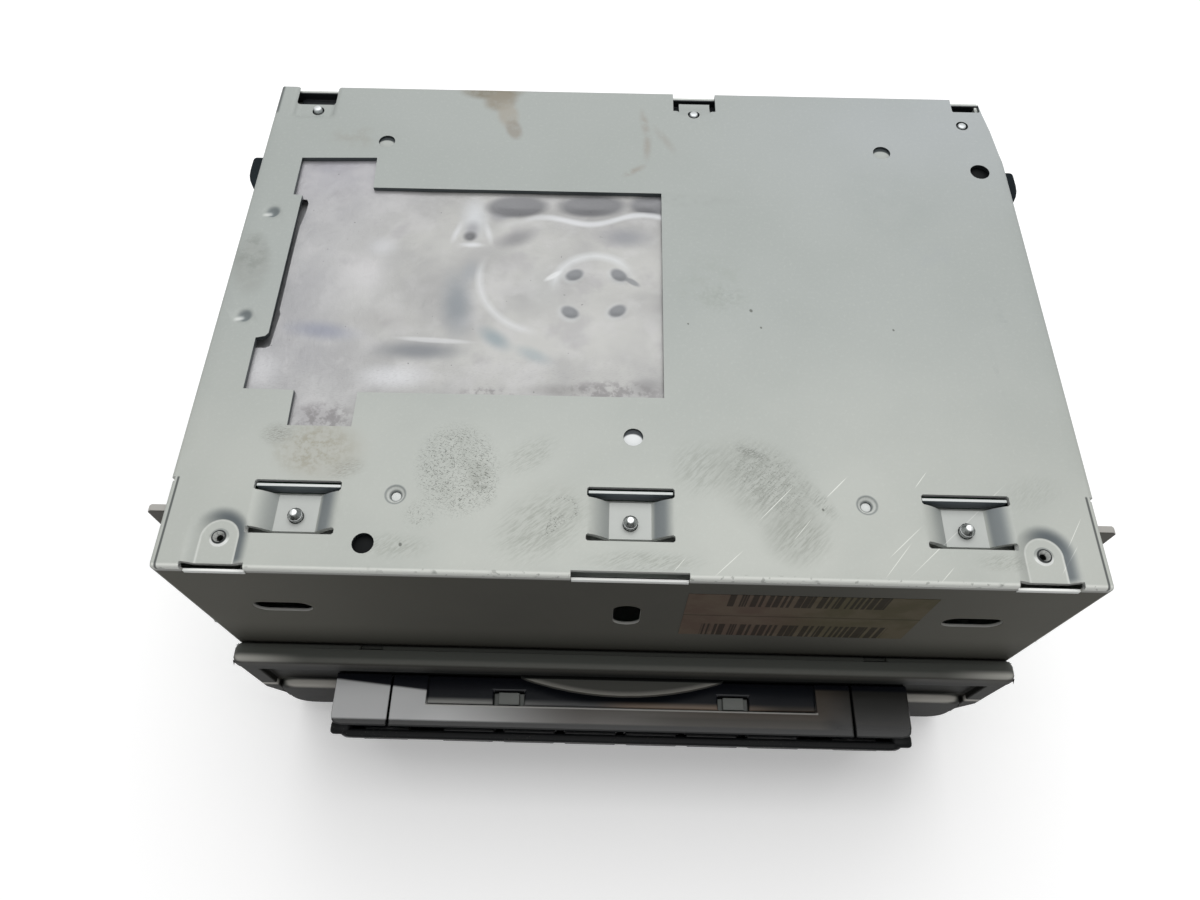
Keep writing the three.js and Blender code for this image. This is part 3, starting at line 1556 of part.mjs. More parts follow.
function chipSet(table, foot) {
  return join(
    table.map(({ at: [x, y], half: halfShare }) => {
      const reach = halfShare * caseWidth;
      const middle = y * caseDepth;
      return boxAt(x * caseWidth, reach, middle - reach, middle + reach, foot, foot + chipThick);
    }),
  );
}

function capacitors() {
  const top = mainBoardZ;
  return join(
    capacitorShares.map(([x, y]) =>
      round("z", capacitorRadius, x * caseWidth, y * caseDepth, top - capacitorHeight, top),
    ),
  );
}

function tunerBox() {
  const x = tunerLeft + tunerWidth / 2;
  const top = boardUnder - seat;
  const rear = tunerY + tunerDepth;
  const foot = top - tunerHeight;
  const can = boxAt(x, tunerWidth / 2, tunerY, rear, foot, top);
  const lid = boxAt(x, tunerWidth / 2 - sheet, tunerY + sheet, rear - sheet, foot - sheet / 2, foot + seat);
  return join(can, lid);
}

function fanFrame() {
  const rear = rearInner - clear;
  const reach = fanSize / 2;
  const square = roundRect(fanX - reach, fanX + reach, fanZ - reach, fanZ + reach, 2 * sheet);
  const body = prism(square, "y", rear - fanDepth, rear);
  const bore = round("y", fanBore, fanX, fanZ, rear - fanDepth - overrun, rear + overrun, fineSides);
  const depth = [rear - 2 * sheet, rear];
  const span = fanBore + sheet;
  const arms = join(
    boxAt(fanX, span, ...depth, fanZ - sheet, fanZ + sheet),
    boxAt(fanX, sheet, ...depth, fanZ - span, fanZ + span),
    round("y", fanHub, fanX, fanZ, ...depth),
  );
  return join(cut(body, bore), arms);
}

// Drawn about the fan's axis, which runs along Y.
function fanRotor() {
  const rear = -2 * sheet - clear;
  const front = -fanDepth + clear;
  const hub = round("y", fanHub, 0, 0, front, rear, fineSides);
  const blades = [];
  const tip = fanBore - 2 * clear;
  for (let index = 0; index < fanBlades; index += 1) {
    const geometry = new THREE.BoxGeometry(tip - fanHub + sheet, rear - front - sheet, bladeThick);
    geometry.rotateX(bladeTwist);
    geometry.translate((tip + fanHub - sheet) / 2, (rear + front) / 2, 0);
    geometry.rotateY((index * 2 * Math.PI) / fanBlades);
    blades.push(solid(geometry));
  }
  const sweep = round("y", tip, 0, 0, front, rear, fineSides);
  return common(join(hub, blades), sweep);
}

function heatSink() {
  const back = rearOuter + seat;
  const root = back + sinkBase;
  const pitch = (sinkRight - sinkLeft - finThick) / (sinkFins - 1);
  const draft = finThick * finDraftShare;
  const points = [[sinkLeft, back]];
  for (let fin = 0; fin < sinkFins; fin += 1) {
    const left = sinkLeft + fin * pitch;
    points.push([left, root]);
    points.push([left + draft, root + sinkFin]);
    points.push([left + finThick - draft, root + sinkFin]);
    points.push([left + finThick, root]);
  }
  points.push([sinkRight, back]);
  return prism(polygon(points), "z", sinkFoot, sinkHead);
}

function soundAmp() {
  const rear = rearInner - clear;
  const top = boardUnder - seat;
  return boxAt((sinkLeft + sinkRight) / 2, ampWidth / 2, rear - ampThick, rear, top - ampHeight, top);
}

function powerSocket() {
  const back = rearOuter + socketReach;
  const floor = rearInner;
  const top = socketFoot + socketHeight;
  const wall = socketWall;
  const inner = socketWidth / 2 - wall;
  const shell = cut(
    boxAt(socketX, socketWidth / 2, floor - socketFloor, back, socketFoot, top),
    boxAt(socketX, inner, floor, back + overrun, socketFoot + wall, top - wall),
  );
  const pitch = (2 * inner) / pinColumns;
  const pins = [];
  for (let column = 0; column < pinColumns; column += 1) {
    for (const row of bothSides) {
      const x = socketX - inner + (column + 0.5) * pitch;
      const z = socketFoot + socketHeight / 2 + row * pinRowShare * socketHeight;
      pins.push(boxAt(x, pinHalf, floor - seat, floor + pinLength, z - pinHalf, z + pinHalf));
    }
  }
  return join(shell, pins);
}

function aerialSockets() {
  const neck = aerialRadius - socketWall;
  const first = Math.min(...aerialXs) - neck;
  const last = Math.max(...aerialXs) + neck;
  const strap = box(first, last, rearInner - 2 * sheet, rearInner - seat, aerialZ - neck, aerialZ + neck);
  const end = rearOuter + aerialReach;
  const barrel = (radius, x, from, to) => round("y", radius, x, aerialZ, from, to);
  return join(
    strap,
    aerialXs.map((x) => {
      const body = join(
        barrel(neck, x, rearInner - sheet, rearOuter + 2 * seat),
        barrel(aerialRadius, x, rearOuter + seat, end),
      );
      return cut(body, barrel(aerialBore, x, rearOuter, end + overrun));
    }),
  );
}

// Heads of the screws that hold a deck bracket to its side wall.
function bracketScrews(side) {
  const z = discPlane + deckHeight + sheet + damperHeight + bracketFlange / 2;
  return damperYs().map((y) => {
    const end = wallOuter + screwHeadHeight / 2;
    const at = [discCentreY + y, z];
    const head = round("x", screwHead, ...at, wallOuter - seat, end, coarseSides, screwRadius);
    return side > 0 ? head : mirrored(head);
  });
}

// The radio
const radio = new THREE.Group();
radio.position.set(0, -middleY, 0);

piece(radio, "bottom_cover", bottomCover(), steel);
piece(radio, "top_cover", topCover(), steel);
piece(radio, "front_plate", frontPlate(), steel);
piece(radio, "left_side_wall", sideWall(-1), steel);
piece(radio, "right_side_wall", sideWall(1), steel);
piece(radio, "rear_plate", rearPlate(), steel);
piece(radio, "shield_plate", shieldPlate(), brightMetal);
piece(radio, "front_stay", frontStay(), steel);
["left", "middle", "right"].forEach((place, index) => {
  piece(radio, `${place}_bridge_screw`, bridgeScrew(), brightMetal, [(index - 1) * bridgeSpacing, 0, 0]);
});
piece(radio, "left_ear", sideEar(-1), steel);
piece(radio, "right_ear", sideEar(1), steel);
piece(radio, "left_bumper", sideBumper(-1), blackRubber);
piece(radio, "right_bumper", sideBumper(1), blackRubber);

// Fascia with the slot, the bar, the display and the keys
const fascia = new THREE.Group();
radio.add(fascia);
piece(fascia, "fascia_frame", fasciaFrame(), darkPlastic);
piece(fascia, "bar_housing", barHousing(), darkPlastic);
piece(fascia, "bar_face", barFace(), glossPlastic);
piece(fascia, "bar_clips", barClips(), greyPlastic);
piece(fascia, "bar_bezel", barBezel(), darkPlastic);
piece(fascia, "display_lens", displayLens(), clearGlass);
piece(fascia, "display_panel", displayPanel(), blackChip);
piece(fascia, "key_board", keyBoard(), greenBoard);
piece(fascia, "slot_shutter", slotShutter(), darkPlastic);
keyNames.forEach((name, index) => {
  piece(fascia, name, keyCap(), darkPlastic, [keyX(index), 0, 0]);
});
rockerNames.forEach((name, index) => {
  piece(fascia, name, rockerCap(), darkPlastic, [bothSides[index] * rockerX, 0, 0]);
});

// Disc mechanism
const mechanism = new THREE.Group();
mechanism.position.set(0, discCentreY, discPlane);
radio.add(mechanism);
piece(mechanism, "mechanism_deck", mechanismDeck(), steel);
piece(mechanism, "turntable", turntable(), blackChip);
piece(mechanism, "spindle_motor", spindleMotor(), castMetal);
piece(mechanism, "clamp_puck", clampPuck(), whitePlastic);
piece(mechanism, "clamp_arm", clampArm(), steel, [0, armHingeY, -armDrop]);
piece(mechanism, "pickup_sled", pickupSled(), castMetal, [-sledHome, 0, 0]);
piece(mechanism, "pickup_lens", pickupLens(), clearGlass, [-sledHome, 0, 0]);
piece(mechanism, "front_rod", guideRod(), brightMetal, [0, -railY, railZ]);
piece(mechanism, "rear_rod", guideRod(), brightMetal, [0, railY, railZ]);
piece(mechanism, "lead_screw", leadScrew(), brightMetal);
piece(mechanism, "sled_motor", sledMotor(), castMetal);
const rollerPlace = [0, -rollerY, rollerZ()];
piece(mechanism, "loading_roller", loadingRoller(), blackRubber, rollerPlace);
piece(mechanism, "roller_gear", rollerGear(), whitePlastic, rollerPlace);
piece(mechanism, "idler_gear", idlerGear(), whitePlastic, [0, ...idlerPlace()]);
piece(mechanism, "motor_pinion", motorPinion(), whitePlastic, [0, ...pinionPlace()]);
piece(mechanism, "loading_motor", loadingMotor(), castMetal, [0, ...pinionPlace()]);
piece(mechanism, "disc_guide", discGuide(), darkPlastic);
piece(mechanism, "left_deck_bracket", deckBracket(-1), steel);
piece(mechanism, "right_deck_bracket", deckBracket(1), steel);

// Boards
piece(radio, "main_board", mainBoard(), greenBoard);
piece(radio, "tuner_box", tunerBox(), brightMetal);
piece(radio, "map_board", mapBoard(), greenBoard);

// Rear
const fanPlace = [fanX, rearInner - clear, fanZ];
piece(radio, "fan_frame", fanFrame(), blackChip);
piece(radio, "fan_rotor", fanRotor(), blackChip, fanPlace);
piece(radio, "heat_sink", heatSink(), castMetal);
piece(radio, "sound_amp", soundAmp(), blackChip);
piece(radio, "power_socket", powerSocket(), whitePlastic);
piece(radio, "aerial_sockets", aerialSockets(), brightMetal);

export default radio;
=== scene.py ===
# %% [markdown]
# This lesson dresses a car navigation radio that lies upside down on a pale floor.
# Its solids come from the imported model. This script loads them as a fixed frame and
# then finishes every piece: worn zinc coated sheet steel, a dented foil shield,
# moulded plastics, a glossy bar, rubber, and the small works that show in gaps.

# %% Load the frame
import functools
import math

import bmesh
import bpy
from mathutils import Matrix, Vector


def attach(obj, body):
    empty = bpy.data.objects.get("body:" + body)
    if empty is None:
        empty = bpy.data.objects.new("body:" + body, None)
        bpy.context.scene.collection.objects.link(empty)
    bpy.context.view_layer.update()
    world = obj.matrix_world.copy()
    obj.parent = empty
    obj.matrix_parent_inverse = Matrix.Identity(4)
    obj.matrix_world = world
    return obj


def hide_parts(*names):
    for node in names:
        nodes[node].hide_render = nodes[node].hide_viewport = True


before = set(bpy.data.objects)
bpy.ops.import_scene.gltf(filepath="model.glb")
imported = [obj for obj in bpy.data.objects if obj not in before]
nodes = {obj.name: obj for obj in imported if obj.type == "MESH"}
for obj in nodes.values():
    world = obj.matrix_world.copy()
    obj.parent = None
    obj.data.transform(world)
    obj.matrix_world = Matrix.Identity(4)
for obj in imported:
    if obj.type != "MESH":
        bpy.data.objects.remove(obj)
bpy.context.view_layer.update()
MM = 0.001
print("nodes in the frame:", len(nodes))

# %% [markdown]
# The camera stands above the front edge and looks down steeply, as a person does who
# photographs a radio on a table. Its place and its three axes were worked out from
# known points of the cover. A camera's own axes are right, up and backwards, so these
# three vectors are the columns of its matrix.

# %% The camera
LENS_PIXELS = 887.64
PHOTO_WIDTH = 1200
SENSOR_WIDTH = 36.0
NEAREST = 5
CAMERA_PLACE = Vector((-5.114, -121.060, 255.216)) * MM
PITCH, YAW, ROLL = (math.radians(angle) for angle in (61.421, -0.748, 0.646))

flat = math.cos(PITCH)
forward = Vector((math.sin(YAW) * flat, math.cos(YAW) * flat, -math.sin(PITCH)))
level = Vector((math.cos(YAW), -math.sin(YAW), 0))
upward = level.cross(forward)
right = level * math.cos(ROLL) + upward * math.sin(ROLL)
above = upward * math.cos(ROLL) - level * math.sin(ROLL)

lens = bpy.data.cameras.new("camera")
lens.sensor_width = SENSOR_WIDTH
lens.lens = LENS_PIXELS / PHOTO_WIDTH * SENSOR_WIDTH
lens.clip_start = NEAREST * MM
camera = bpy.data.objects.new("camera", lens)
turned = Matrix((right, above, -forward)).transposed()
camera.matrix_world = Matrix.Translation(CAMERA_PLACE) @ turned.to_4x4()
bpy.context.scene.collection.objects.link(camera)
bpy.context.scene.camera = camera
bpy.context.scene.view_settings.view_transform = "Standard"
print("lens in mm:", round(lens.lens, 2))

# %% [markdown]
# Materials are written as sums. A Wire stands for one output of a shader node, and
# adding, subtracting, multiplying or dividing wires adds the Math nodes for it. A
# Finish is one material: its add method makes any node from its type, its settings
# and the values or wires of its sockets. Its colour is built up as a painter would:
# start blends two colours, and each lay puts one more over the rest.

# %% A class for shader sums, and one for materials
class Wire:
    """One output of a shader node, on which ordinary sums add Math nodes."""

    def __init__(self, finish, socket):
        self.finish = finish
        self.socket = socket

    def sum(self, operation, *values):
        return self.finish.add("Math", {"operation": operation}, dict(enumerate(values)))

    def size(self):
        return self.sum("ABSOLUTE", self)

    def sign(self):
        return self.sum("SIGN", self)

    def cosine(self):
        return self.sum("COSINE", self)

    def __add__(self, other):
        return self.sum("ADD", self, other)

    def __radd__(self, other):
        return self.sum("ADD", other, self)

    def __sub__(self, other):
        return self.sum("SUBTRACT", self, other)

    def __rsub__(self, other):
        return self.sum("SUBTRACT", other, self)

    def __mul__(self, other):
        return self.sum("MULTIPLY", self, other)

    def __rmul__(self, other):
        return self.sum("MULTIPLY", other, self)

    def __truediv__(self, other):
        return self.sum("DIVIDE", self, other)

    def __pow__(self, other):
        return self.sum("POWER", self, other)

    def most(self, other):
        return self.sum("MAXIMUM", self, other)

    def reach(self, other):
        """How long an arrow is that runs this far one way and that far the other."""
        return (self * self + other * other) ** 0.5

    def part(self, axis):
        return self.finish.add("SeparateXYZ", {}, {"Vector": self}, axis)

    def between(self, low, high):
        """0 at low and 1 at high, with a soft start and end."""
        settings = {"interpolation_type": "SMOOTHSTEP"}
        sockets = {"Value": self, "From Min": low, "From Max": high}
        return self.finish.add("MapRange", settings, sockets)


class Finish:
    """A material, with the nodes that its detail is made of."""

    def __init__(self, name):
        self.material = bpy.data.materials.new(name)
        self.material.use_nodes = True
        self.tree = self.material.node_tree
        self.shader = self.tree.nodes["Principled BSDF"]
        self.place = self.add("TexCoord", {}, {}, "Object")
        self.tone = None
        self.lift = 1.0

    def add(self, kind, settings, sockets, output=0):
        node = self.tree.nodes.new("ShaderNode" + kind)
        for name, value in settings.items():
            setattr(node, name, value)
        for name, value in sockets.items():
            self.plug(node.inputs[name], value)
        return Wire(self, node.outputs[output])

    def plug(self, socket, value):
        if isinstance(value, Wire):
            self.tree.links.new(value.socket, socket)
        else:
            socket.default_value = value

    def mm(self, axis):
        """Object coordinates along one axis in mm."""
        return self.place.part(axis) / MM

    def facing(self, axis, low, high):
        """How much a face looks along an axis, 0 at low and 1 at high."""
        return self.add("NewGeometry", {}, {}, "Normal").part(axis).between(low, high)

    def moved(self, where, turn, size):
        """Object coordinates about a point in mm, turned about Z and divided by a size in mm."""
        sockets = {"Vector": self.place, "Location": [value * MM for value in where]}
        sockets.update({"Rotation": (0, 0, turn), "Scale": [value * MM for value in size]})
        return self.add("Mapping", {"vector_type": "TEXTURE"}, sockets)

    def combed(self, degrees, ratio):
        """Object coordinates in which noise is drawn out along a direction in the XY plane."""
        sockets = {"Vector": self.place, "Rotation": (0, 0, math.radians(degrees))}
        sockets["Scale"] = (1, 1 / ratio, 1)
        return self.add("Mapping", {"vector_type": "TEXTURE"}, sockets)

    def noise(self, size, detail=2.0, place=None, rough=0.5, wander=0.0):
        """Cloudy noise whose lumps are about size mm across."""
        sockets = {"Vector": place or self.place, "Scale": 1 / (size * MM), "Detail": detail}
        sockets.update({"Roughness": rough, "Distortion": wander})
        return self.add("TexNoise", {}, sockets, "Fac")

    def cells(self, size):
        sockets = {"Vector": self.place, "Scale": 1 / (size * MM)}
        return self.add("TexVoronoi", {}, sockets, "Distance")

    def stretched(self, scale):
        return self.add("Mapping", {"vector_type": "POINT"}, {"Vector": self.place, "Scale": scale})

    def mix(self, share, first, second):
        sockets = {0: share, 6: first, 7: second}
        return self.add("Mix", {"data_type": "RGBA", "clamp_factor": True}, sockets, 2)

    def start(self, share, first, second, lift=1.0):
        """Begins the colour as a blend of two screen colours, made lighter or darker by lift."""
        self.lift = lift
        self.tone = self.mix(share, colour(first, lift), colour(second, lift))

    def lay(self, share, over):
        """Lays a screen colour, or a wire, over the colour so far."""
        over = over if isinstance(over, Wire) else colour(over, self.lift)
        self.tone = self.mix(share, self.tone, over)

    def away(self, x, y, degrees, half_x, half_y):
        """How far off a point in mm is, counted in half sizes of an oval."""
        place = self.moved((x, y, 0), math.radians(degrees), (half_x, half_y, 1e6))
        return self.add("VectorMath", {"operation": "LENGTH"}, {0: place}, "Value")

    def oval(self, x, y, half_x, half_y, degrees=0.0, soft=0.6):
        """1 over an oval, fading towards its rim."""
        return (1 - self.away(x, y, degrees, half_x, half_y)).most(0.0).between(0.0, soft)

    def line(self, x0, y0, x1, y1, half_width, soft=0.6):
        """1 along a short line between two points in mm."""
        long = math.hypot(x1 - x0, y1 - y0) / 2
        turn = math.degrees(math.atan2(y1 - y0, x1 - x0))
        return self.oval((x0 + x1) / 2, (y0 + y1) / 2, long + half_width, half_width, turn, soft)

    def ring(self, x, y, radius, half_width):
        """1 on a circle in mm, falling to 0 on both sides of it."""
        return (1 - (self.away(x, y, 0, 1, 1) - radius).size() / half_width).most(0.0)

    def bump(self, height, depth):
        """A normal that is raised by height, of depth mm from 0 to 1."""
        return self.add("Bump", {}, {"Height": height, "Distance": depth * MM, "Strength": 1.0})

    def done(self, **sockets):
        """Plugs the colour and the other sockets in, and gives the material."""
        if self.tone:
            self.plug(self.shader.inputs["Base Color"], self.tone)
        for name, value in sockets.items():
            self.plug(self.shader.inputs[name.replace("_", " ")], value)
        return self.material


def strongest(*wires):
    """At each point the greatest of several wires."""
    return functools.reduce(Wire.most, wires)


def colour(code, lift=1.0):
    """A screen colour such as 'b5b9b4' as the linear numbers that a shader takes."""
    linear = []
    for at in (0, 2, 4):
        part = int(code[at:at + 2], 16) / 255
        linear.append(part / 12.92 if part <= 0.04045 else ((part + 0.055) / 1.055) ** 2.4)
    return (*[part * lift for part in linear], 1.0)


print("shader sums are ready")

# %% [markdown]
# The radio stands on a plain white floor under one large soft lamp, which hangs above
# and behind it, so its front is in its own shade as in the photograph. The sky
# gives a little light from everywhere. The camera, mirrors and glass see a white sky
# and a white floor, and the floor still takes the radio's shadow.

# %% The floor, the sky and the lamp
def seen_directly(add):
    """1 for a ray from the camera, a mirror or glass, and 0 for light that is scattered."""
    kinds = ("Camera", "Glossy", "Transmission")
    rays = [add("LightPath", {}, {}, f"Is {kind} Ray") for kind in kinds]
    limited = {"operation": "ADD", "use_clamp": True}
    seen = add("Math", limited, {0: rays[0], 1: rays[1]})
    return add("Math", limited, {0: seen, 1: rays[2]})


FLOOR_SIZE = 5.0
WHITE, BLACK, FLOOR_GREY, FLOOR_WHITE, FLOOR_GLOW = (
    (level, level, level, 1.0) for level in (1.0, 0.0, 0.30, 0.95, 0.22)
)

floor_finish = Finish("floor paper")
floor_seen = seen_directly(floor_finish.add)
floor_colour = floor_finish.mix(floor_seen, FLOOR_GREY, FLOOR_WHITE)
floor_glow = floor_finish.mix(floor_seen, BLACK, FLOOR_GLOW)
floor_light = {"Emission_Color": floor_glow, "Emission_Strength": 1.0}
floor_paper = floor_finish.done(
    Base_Color=floor_colour, Roughness=0.9, Specular_IOR_Level=0.0, **floor_light
)
floor_shape = bmesh.new()
bmesh.ops.create_grid(floor_shape, x_segments=1, y_segments=1, size=FLOOR_SIZE)
floor_mesh = bpy.data.meshes.new("floor")
floor_shape.to_mesh(floor_mesh)
floor_shape.free()
floor_mesh.materials.append(floor_paper)
floor = bpy.data.objects.new("floor", floor_mesh)
bpy.context.scene.collection.objects.link(floor)

SKY_LEVEL = 0.45
sky = bpy.data.worlds.new("sky")
sky.use_nodes = True
bpy.context.scene.world = sky
sky_tree = sky.node_tree


def add_to_sky(kind, settings, sockets, output=0):
    node = sky_tree.nodes.new("ShaderNode" + kind)
    for name, value in settings.items():
        setattr(node, name, value)
    for name, value in sockets.items():
        sky_tree.links.new(value, node.inputs[name])
    return node.outputs[output]


strength = sky_tree.nodes.new("ShaderNodeMapRange")
sky_tree.links.new(seen_directly(add_to_sky), strength.inputs["Value"])
strength.inputs["To Min"].default_value = SKY_LEVEL
background = sky_tree.nodes["Background"]
background.inputs["Color"].default_value = WHITE
sky_tree.links.new(strength.outputs[0], background.inputs["Strength"])


def soft_lamp(name, place, aim, width, height, watts):
    """A rectangular lamp whose places are in metres."""
    lamp = bpy.data.lights.new(name, "AREA")
    lamp.shape = "RECTANGLE"
    lamp.size, lamp.size_y, lamp.energy = width, height, watts
    holder = bpy.data.objects.new(name, lamp)
    towards = (Vector(aim) - Vector(place)).to_track_quat("-Z", "Y")
    holder.matrix_world = Matrix.Translation(place) @ towards.to_matrix().to_4x4()
    bpy.context.scene.collection.objects.link(holder)


soft_lamp("window light", (0.05, 0.42, 1.2), (0, 0, 0.05), 1.3, 1.3, 11.5)
print("the lamp and the floor are set")

# %% [markdown]
# The parts came in as loose triangles. Four modifiers give each of them the look of
# a made thing: a weld joins the triangles, a planar decimate melts flat areas into
# whole faces, a bevel rounds every sharp edge a little, so that it catches light, and
# a weighted normal lets the large faces keep their flat shading beside the bevels.

# %% Round the edges of the frame's own pieces
FLAT_ANGLE = math.radians(1.0)
EDGE_ANGLE = math.radians(32.0)
FACE_WEIGHT = 80
WELD_REACH = 0.001


def soften(piece, width, segments=2):
    """Rounds the edges of one piece by a width in mm."""
    weld = piece.modifiers.new("weld", "WELD")
    weld.merge_threshold = WELD_REACH * MM
    melt = piece.modifiers.new("melt", "DECIMATE")
    melt.decimate_type = "DISSOLVE"
    melt.angle_limit = FLAT_ANGLE
    edge = piece.modifiers.new("edge", "BEVEL")
    edge.width = width * MM
    edge.segments = segments
    edge.limit_method = "ANGLE"
    edge.angle_limit = EDGE_ANGLE
    edge.use_clamp_overlap = False
    flat = piece.modifiers.new("flat", "WEIGHTED_NORMAL")
    flat.weight = FACE_WEIGHT
    piece.data.shade_smooth()


def dress(names, finish, edge=0.15, segments=2):
    """Gives nodes a finish and rounded edges."""
    for name in names:
        slots = nodes[name].data.materials
        slots.clear()
        slots.append(finish)
        soften(nodes[name], edge, segments)
    print(finish.name, "on", ", ".join(names))


# %% [markdown]
# Zinc coated sheet steel is pale and a little green. It is dull rather than shiny,
# with faint clouds from the coating, a fine grain, and thin scratches in all
# directions from years of handling.

# %% Zinc coated steel for the case
def steel_base(name, dark, light, metal=0.35, rough=0.42):
    """The shared start of the steel finishes: a finish with its colour, and its roughness."""
    finish = Finish(name)
    clouds = finish.noise(38, 3.0).between(0.3, 0.7)
    grain = finish.noise(0.9, 4.0, rough=0.7)
    finish.start(clouds * 0.65 + grain * 0.35, dark, light)
    shine = clouds * 0.06 + grain * 0.12 + (rough - 0.09)
    finish.shader.inputs["Metallic"].default_value = metal
    return finish, shine


def plain_steel(name, dark, light, metal=0.35, rough=0.42):
    finish, shine = steel_base(name, dark, light, metal, rough)
    scratches = finish.noise(1.0, 2.0, finish.stretched((18, 900, 300))).between(0.66, 0.78)
    finish.lay(scratches * 0.25, "dfe2dd")
    return finish.done(Roughness=shine, Normal=finish.bump(finish.noise(0.7, 3.0), 0.008))


case_steel = plain_steel("zinc coated steel", "a9aeaa", "b9bdb8")
inner_steel = plain_steel("inner steel", "8f9490", "a8aca8")
dress(["top_cover", "left_side_wall", "right_side_wall", "front_stay"], case_steel, 0.12)
dress(["mechanism_deck", "clamp_arm", "left_deck_bracket", "right_deck_bracket"], inner_steel, 0.1)

# The lips' walls are steel in painted shade, and their top edges are bare cut steel with a painted
# highlight.
shaded_lip_steel = plain_steel("lip steel", "474f54", "5b6368", 0.1, 0.5)
lip_edge = plain_steel("lip edge", "c3c8c6", "d4d8d6", 0.1, 0.5)

# %% [markdown]
# The front plate stands in the shade of the cover and mirrors the dark side of a room.
# It is zinc steel like the cover, but its colour is a warm dark grey of painted shade,
# lighter towards both ends and darker towards the bottom. Its top edge and slot walls are
# bare cut steel with a painted highlight, its flange inside the case has painted shade,
# and its side wraps are pale. The rear plate is pale outside, but its top runs inside
# the case, where it has painted shade.

# %% The front plate and the rear plate
front, front_shine = steel_base("shaded front steel", "4d4c47", "585751", 0.0, 0.6)
along, ahead, up = (front.mm(axis) for axis in "XYZ")
# Painted shade over the whole face: lighter towards both ends, darker towards the bottom.
front.lay(along.size().between(30, 85), "67665f")
front.lay(up.between(68, 53) * 0.75, "32322d")
# Bare cut steel with a painted highlight on the top edge and the slot walls, and painted shade on
# the flange inside the case.
front.lay(up.between(97.5, 98.2), "c4c5c1")
front.lay(ahead.between(-63.15, -63), "bcbcb7")
front.lay(ahead.between(-62.8, -62.4) * up.between(95, 96), "24292c")
front.lay(along.size().between(88.9, 89.4), "b2b5b0")
dress(["front_plate"], front.done(Roughness=front_shine, Specular_IOR_Level=0.04), 0.2)

ear, ear_shine = steel_base("ear steel", "a9a7a2", "b6b4b0", 0.0, 0.5)
# Painted shade on the faces that look forward.
ear.lay(ear.facing("Y", -0.5, -0.8), "5a5751")
ear_steel = ear.done(Roughness=ear_shine, Specular_IOR_Level=0.1)
dress(["left_ear", "right_ear"], ear_steel, 0.2)

rear, rear_shine = steel_base("rear steel", "a9aeaa", "b9bdb8")
# Painted shade on the top, where it runs inside the case.
rear.lay(rear.mm("Z").between(95.5, 96.2) * rear.mm("Y").between(66.8, 66.4), "202427")
dress(["rear_plate"], rear.done(Roughness=rear_shine), 0.12)

# %% [markdown]
# Twenty years of use have marked the cover. Its marks are ovals and lines, with places
# and half sizes in mm, a turn in degrees, a colour and a strength. A smear also has the
# size of its grain, and the direction in which it was wiped. A finger leaves strokes,
# which are combed noise, where it has touched the sheet.

# %% The marks on the cover
SMEARS = [
    (-63, -37.5, 10.5, 8, 0, "86826f", 0.6, 1.6, None),
    (-71, -34.5, 4.5, 3.5, 0, "605e54", 0.6, 0.9, 20), (-56, -42, 5, 3, 20, "6d6a5e", 0.5, 1, 20),
    (-86, 12, 5, 9, 12, "7f847f", 0.7, 4, None), (-68, 49.5, 9, 5, 0, "94958f", 0.6, 4, None),
    (26, -43, 14, 10, -48, "787c74", 0.5, 3.2, 47), (14, -40, 8, 8, 20, "868a82", 0.5, 2.8, 47),
    (32, -54, 8, 8, 60, "7c8077", 0.5, 2.8, 47),
    (24, -36.5, 4.5, 1.6, -25, "5b5f58", 0.7, 0.9, 30),
    (36.5, -46.5, 7, 2.2, -52, "6d7169", 0.5, 1.8, 47),
    (-17, -53, 13, 9, 35, "7f837a", 0.5, 2.4, 40), (-20, -38, 8, 4.5, 35, "848880", 0.5, 2, 38),
    (3, -60, 14, 3, 0, "80847b", 0.5, 1.8, 30), (70, -58.5, 7, 2.5, 0, "80847b", 0.45, 1.4, 30),
    (-45, -58, 10, 3.5, 0, "80847b", 0.45, 1.4, 40), (0, 31, 30, 3, 0, "838882", 0.35, 1.6, None),
    (-29.3, -44, 3.2, 8, 20, "7b7e76", 0.5, 2.6, None),
    (-34, -41, 9.5, 12, 12, "989c95", 0.4, 5, None), (18, 6, 12, 11, 0, "959b95", 0.5, 4, None),
    (20, 2, 8, 6, 0, "8b918b", 0.35, 1, None), (79.5, 1, 1.6, 7, 18, "8c9290", 0.5, 3, None),
    (76.5, -14, 0.9, 10, 3, "949895", 0.4, 3, None),
    (67, 14, 10, 7, 20, "9a9fa0", 0.35, 3.5, None), (-1, 39.5, 1, 3, -50, "8b867c", 0.5, 2, None),
    (60, 30, 16, 20, 30, "959b99", 0.3, 9, None), (78, -44, 8, 5, 20, "8f938c", 0.35, 2, 47),
]
SCRATCHES = [
    (32.2, -43.1, 24.3, -51.4, 0.10), (42.6, -41.1, 37.6, -46.2, 0.12),
    (58.3, -39.6, 55.2, -43.6, 0.09), (55.9, -51.2, 48.1, -58.5, 0.09),
    (74.3, -41.1, 50.6, -63, 0.11), (53.4, -54.6, 46.9, -62.6, 0.08),
    (21.5, -57, 15.2, -63, 0.09), (60.5, -59.5, 57.2, -63, 0.08),
    (84.5, -54.6, 80.6, -60.4, 0.10), (86.6, -48.6, 82, -56, 0.08), (35, -50, 30.5, -55.5, 0.07),
    (10.5, -58.8, 7.9, -62, 0.07),
]
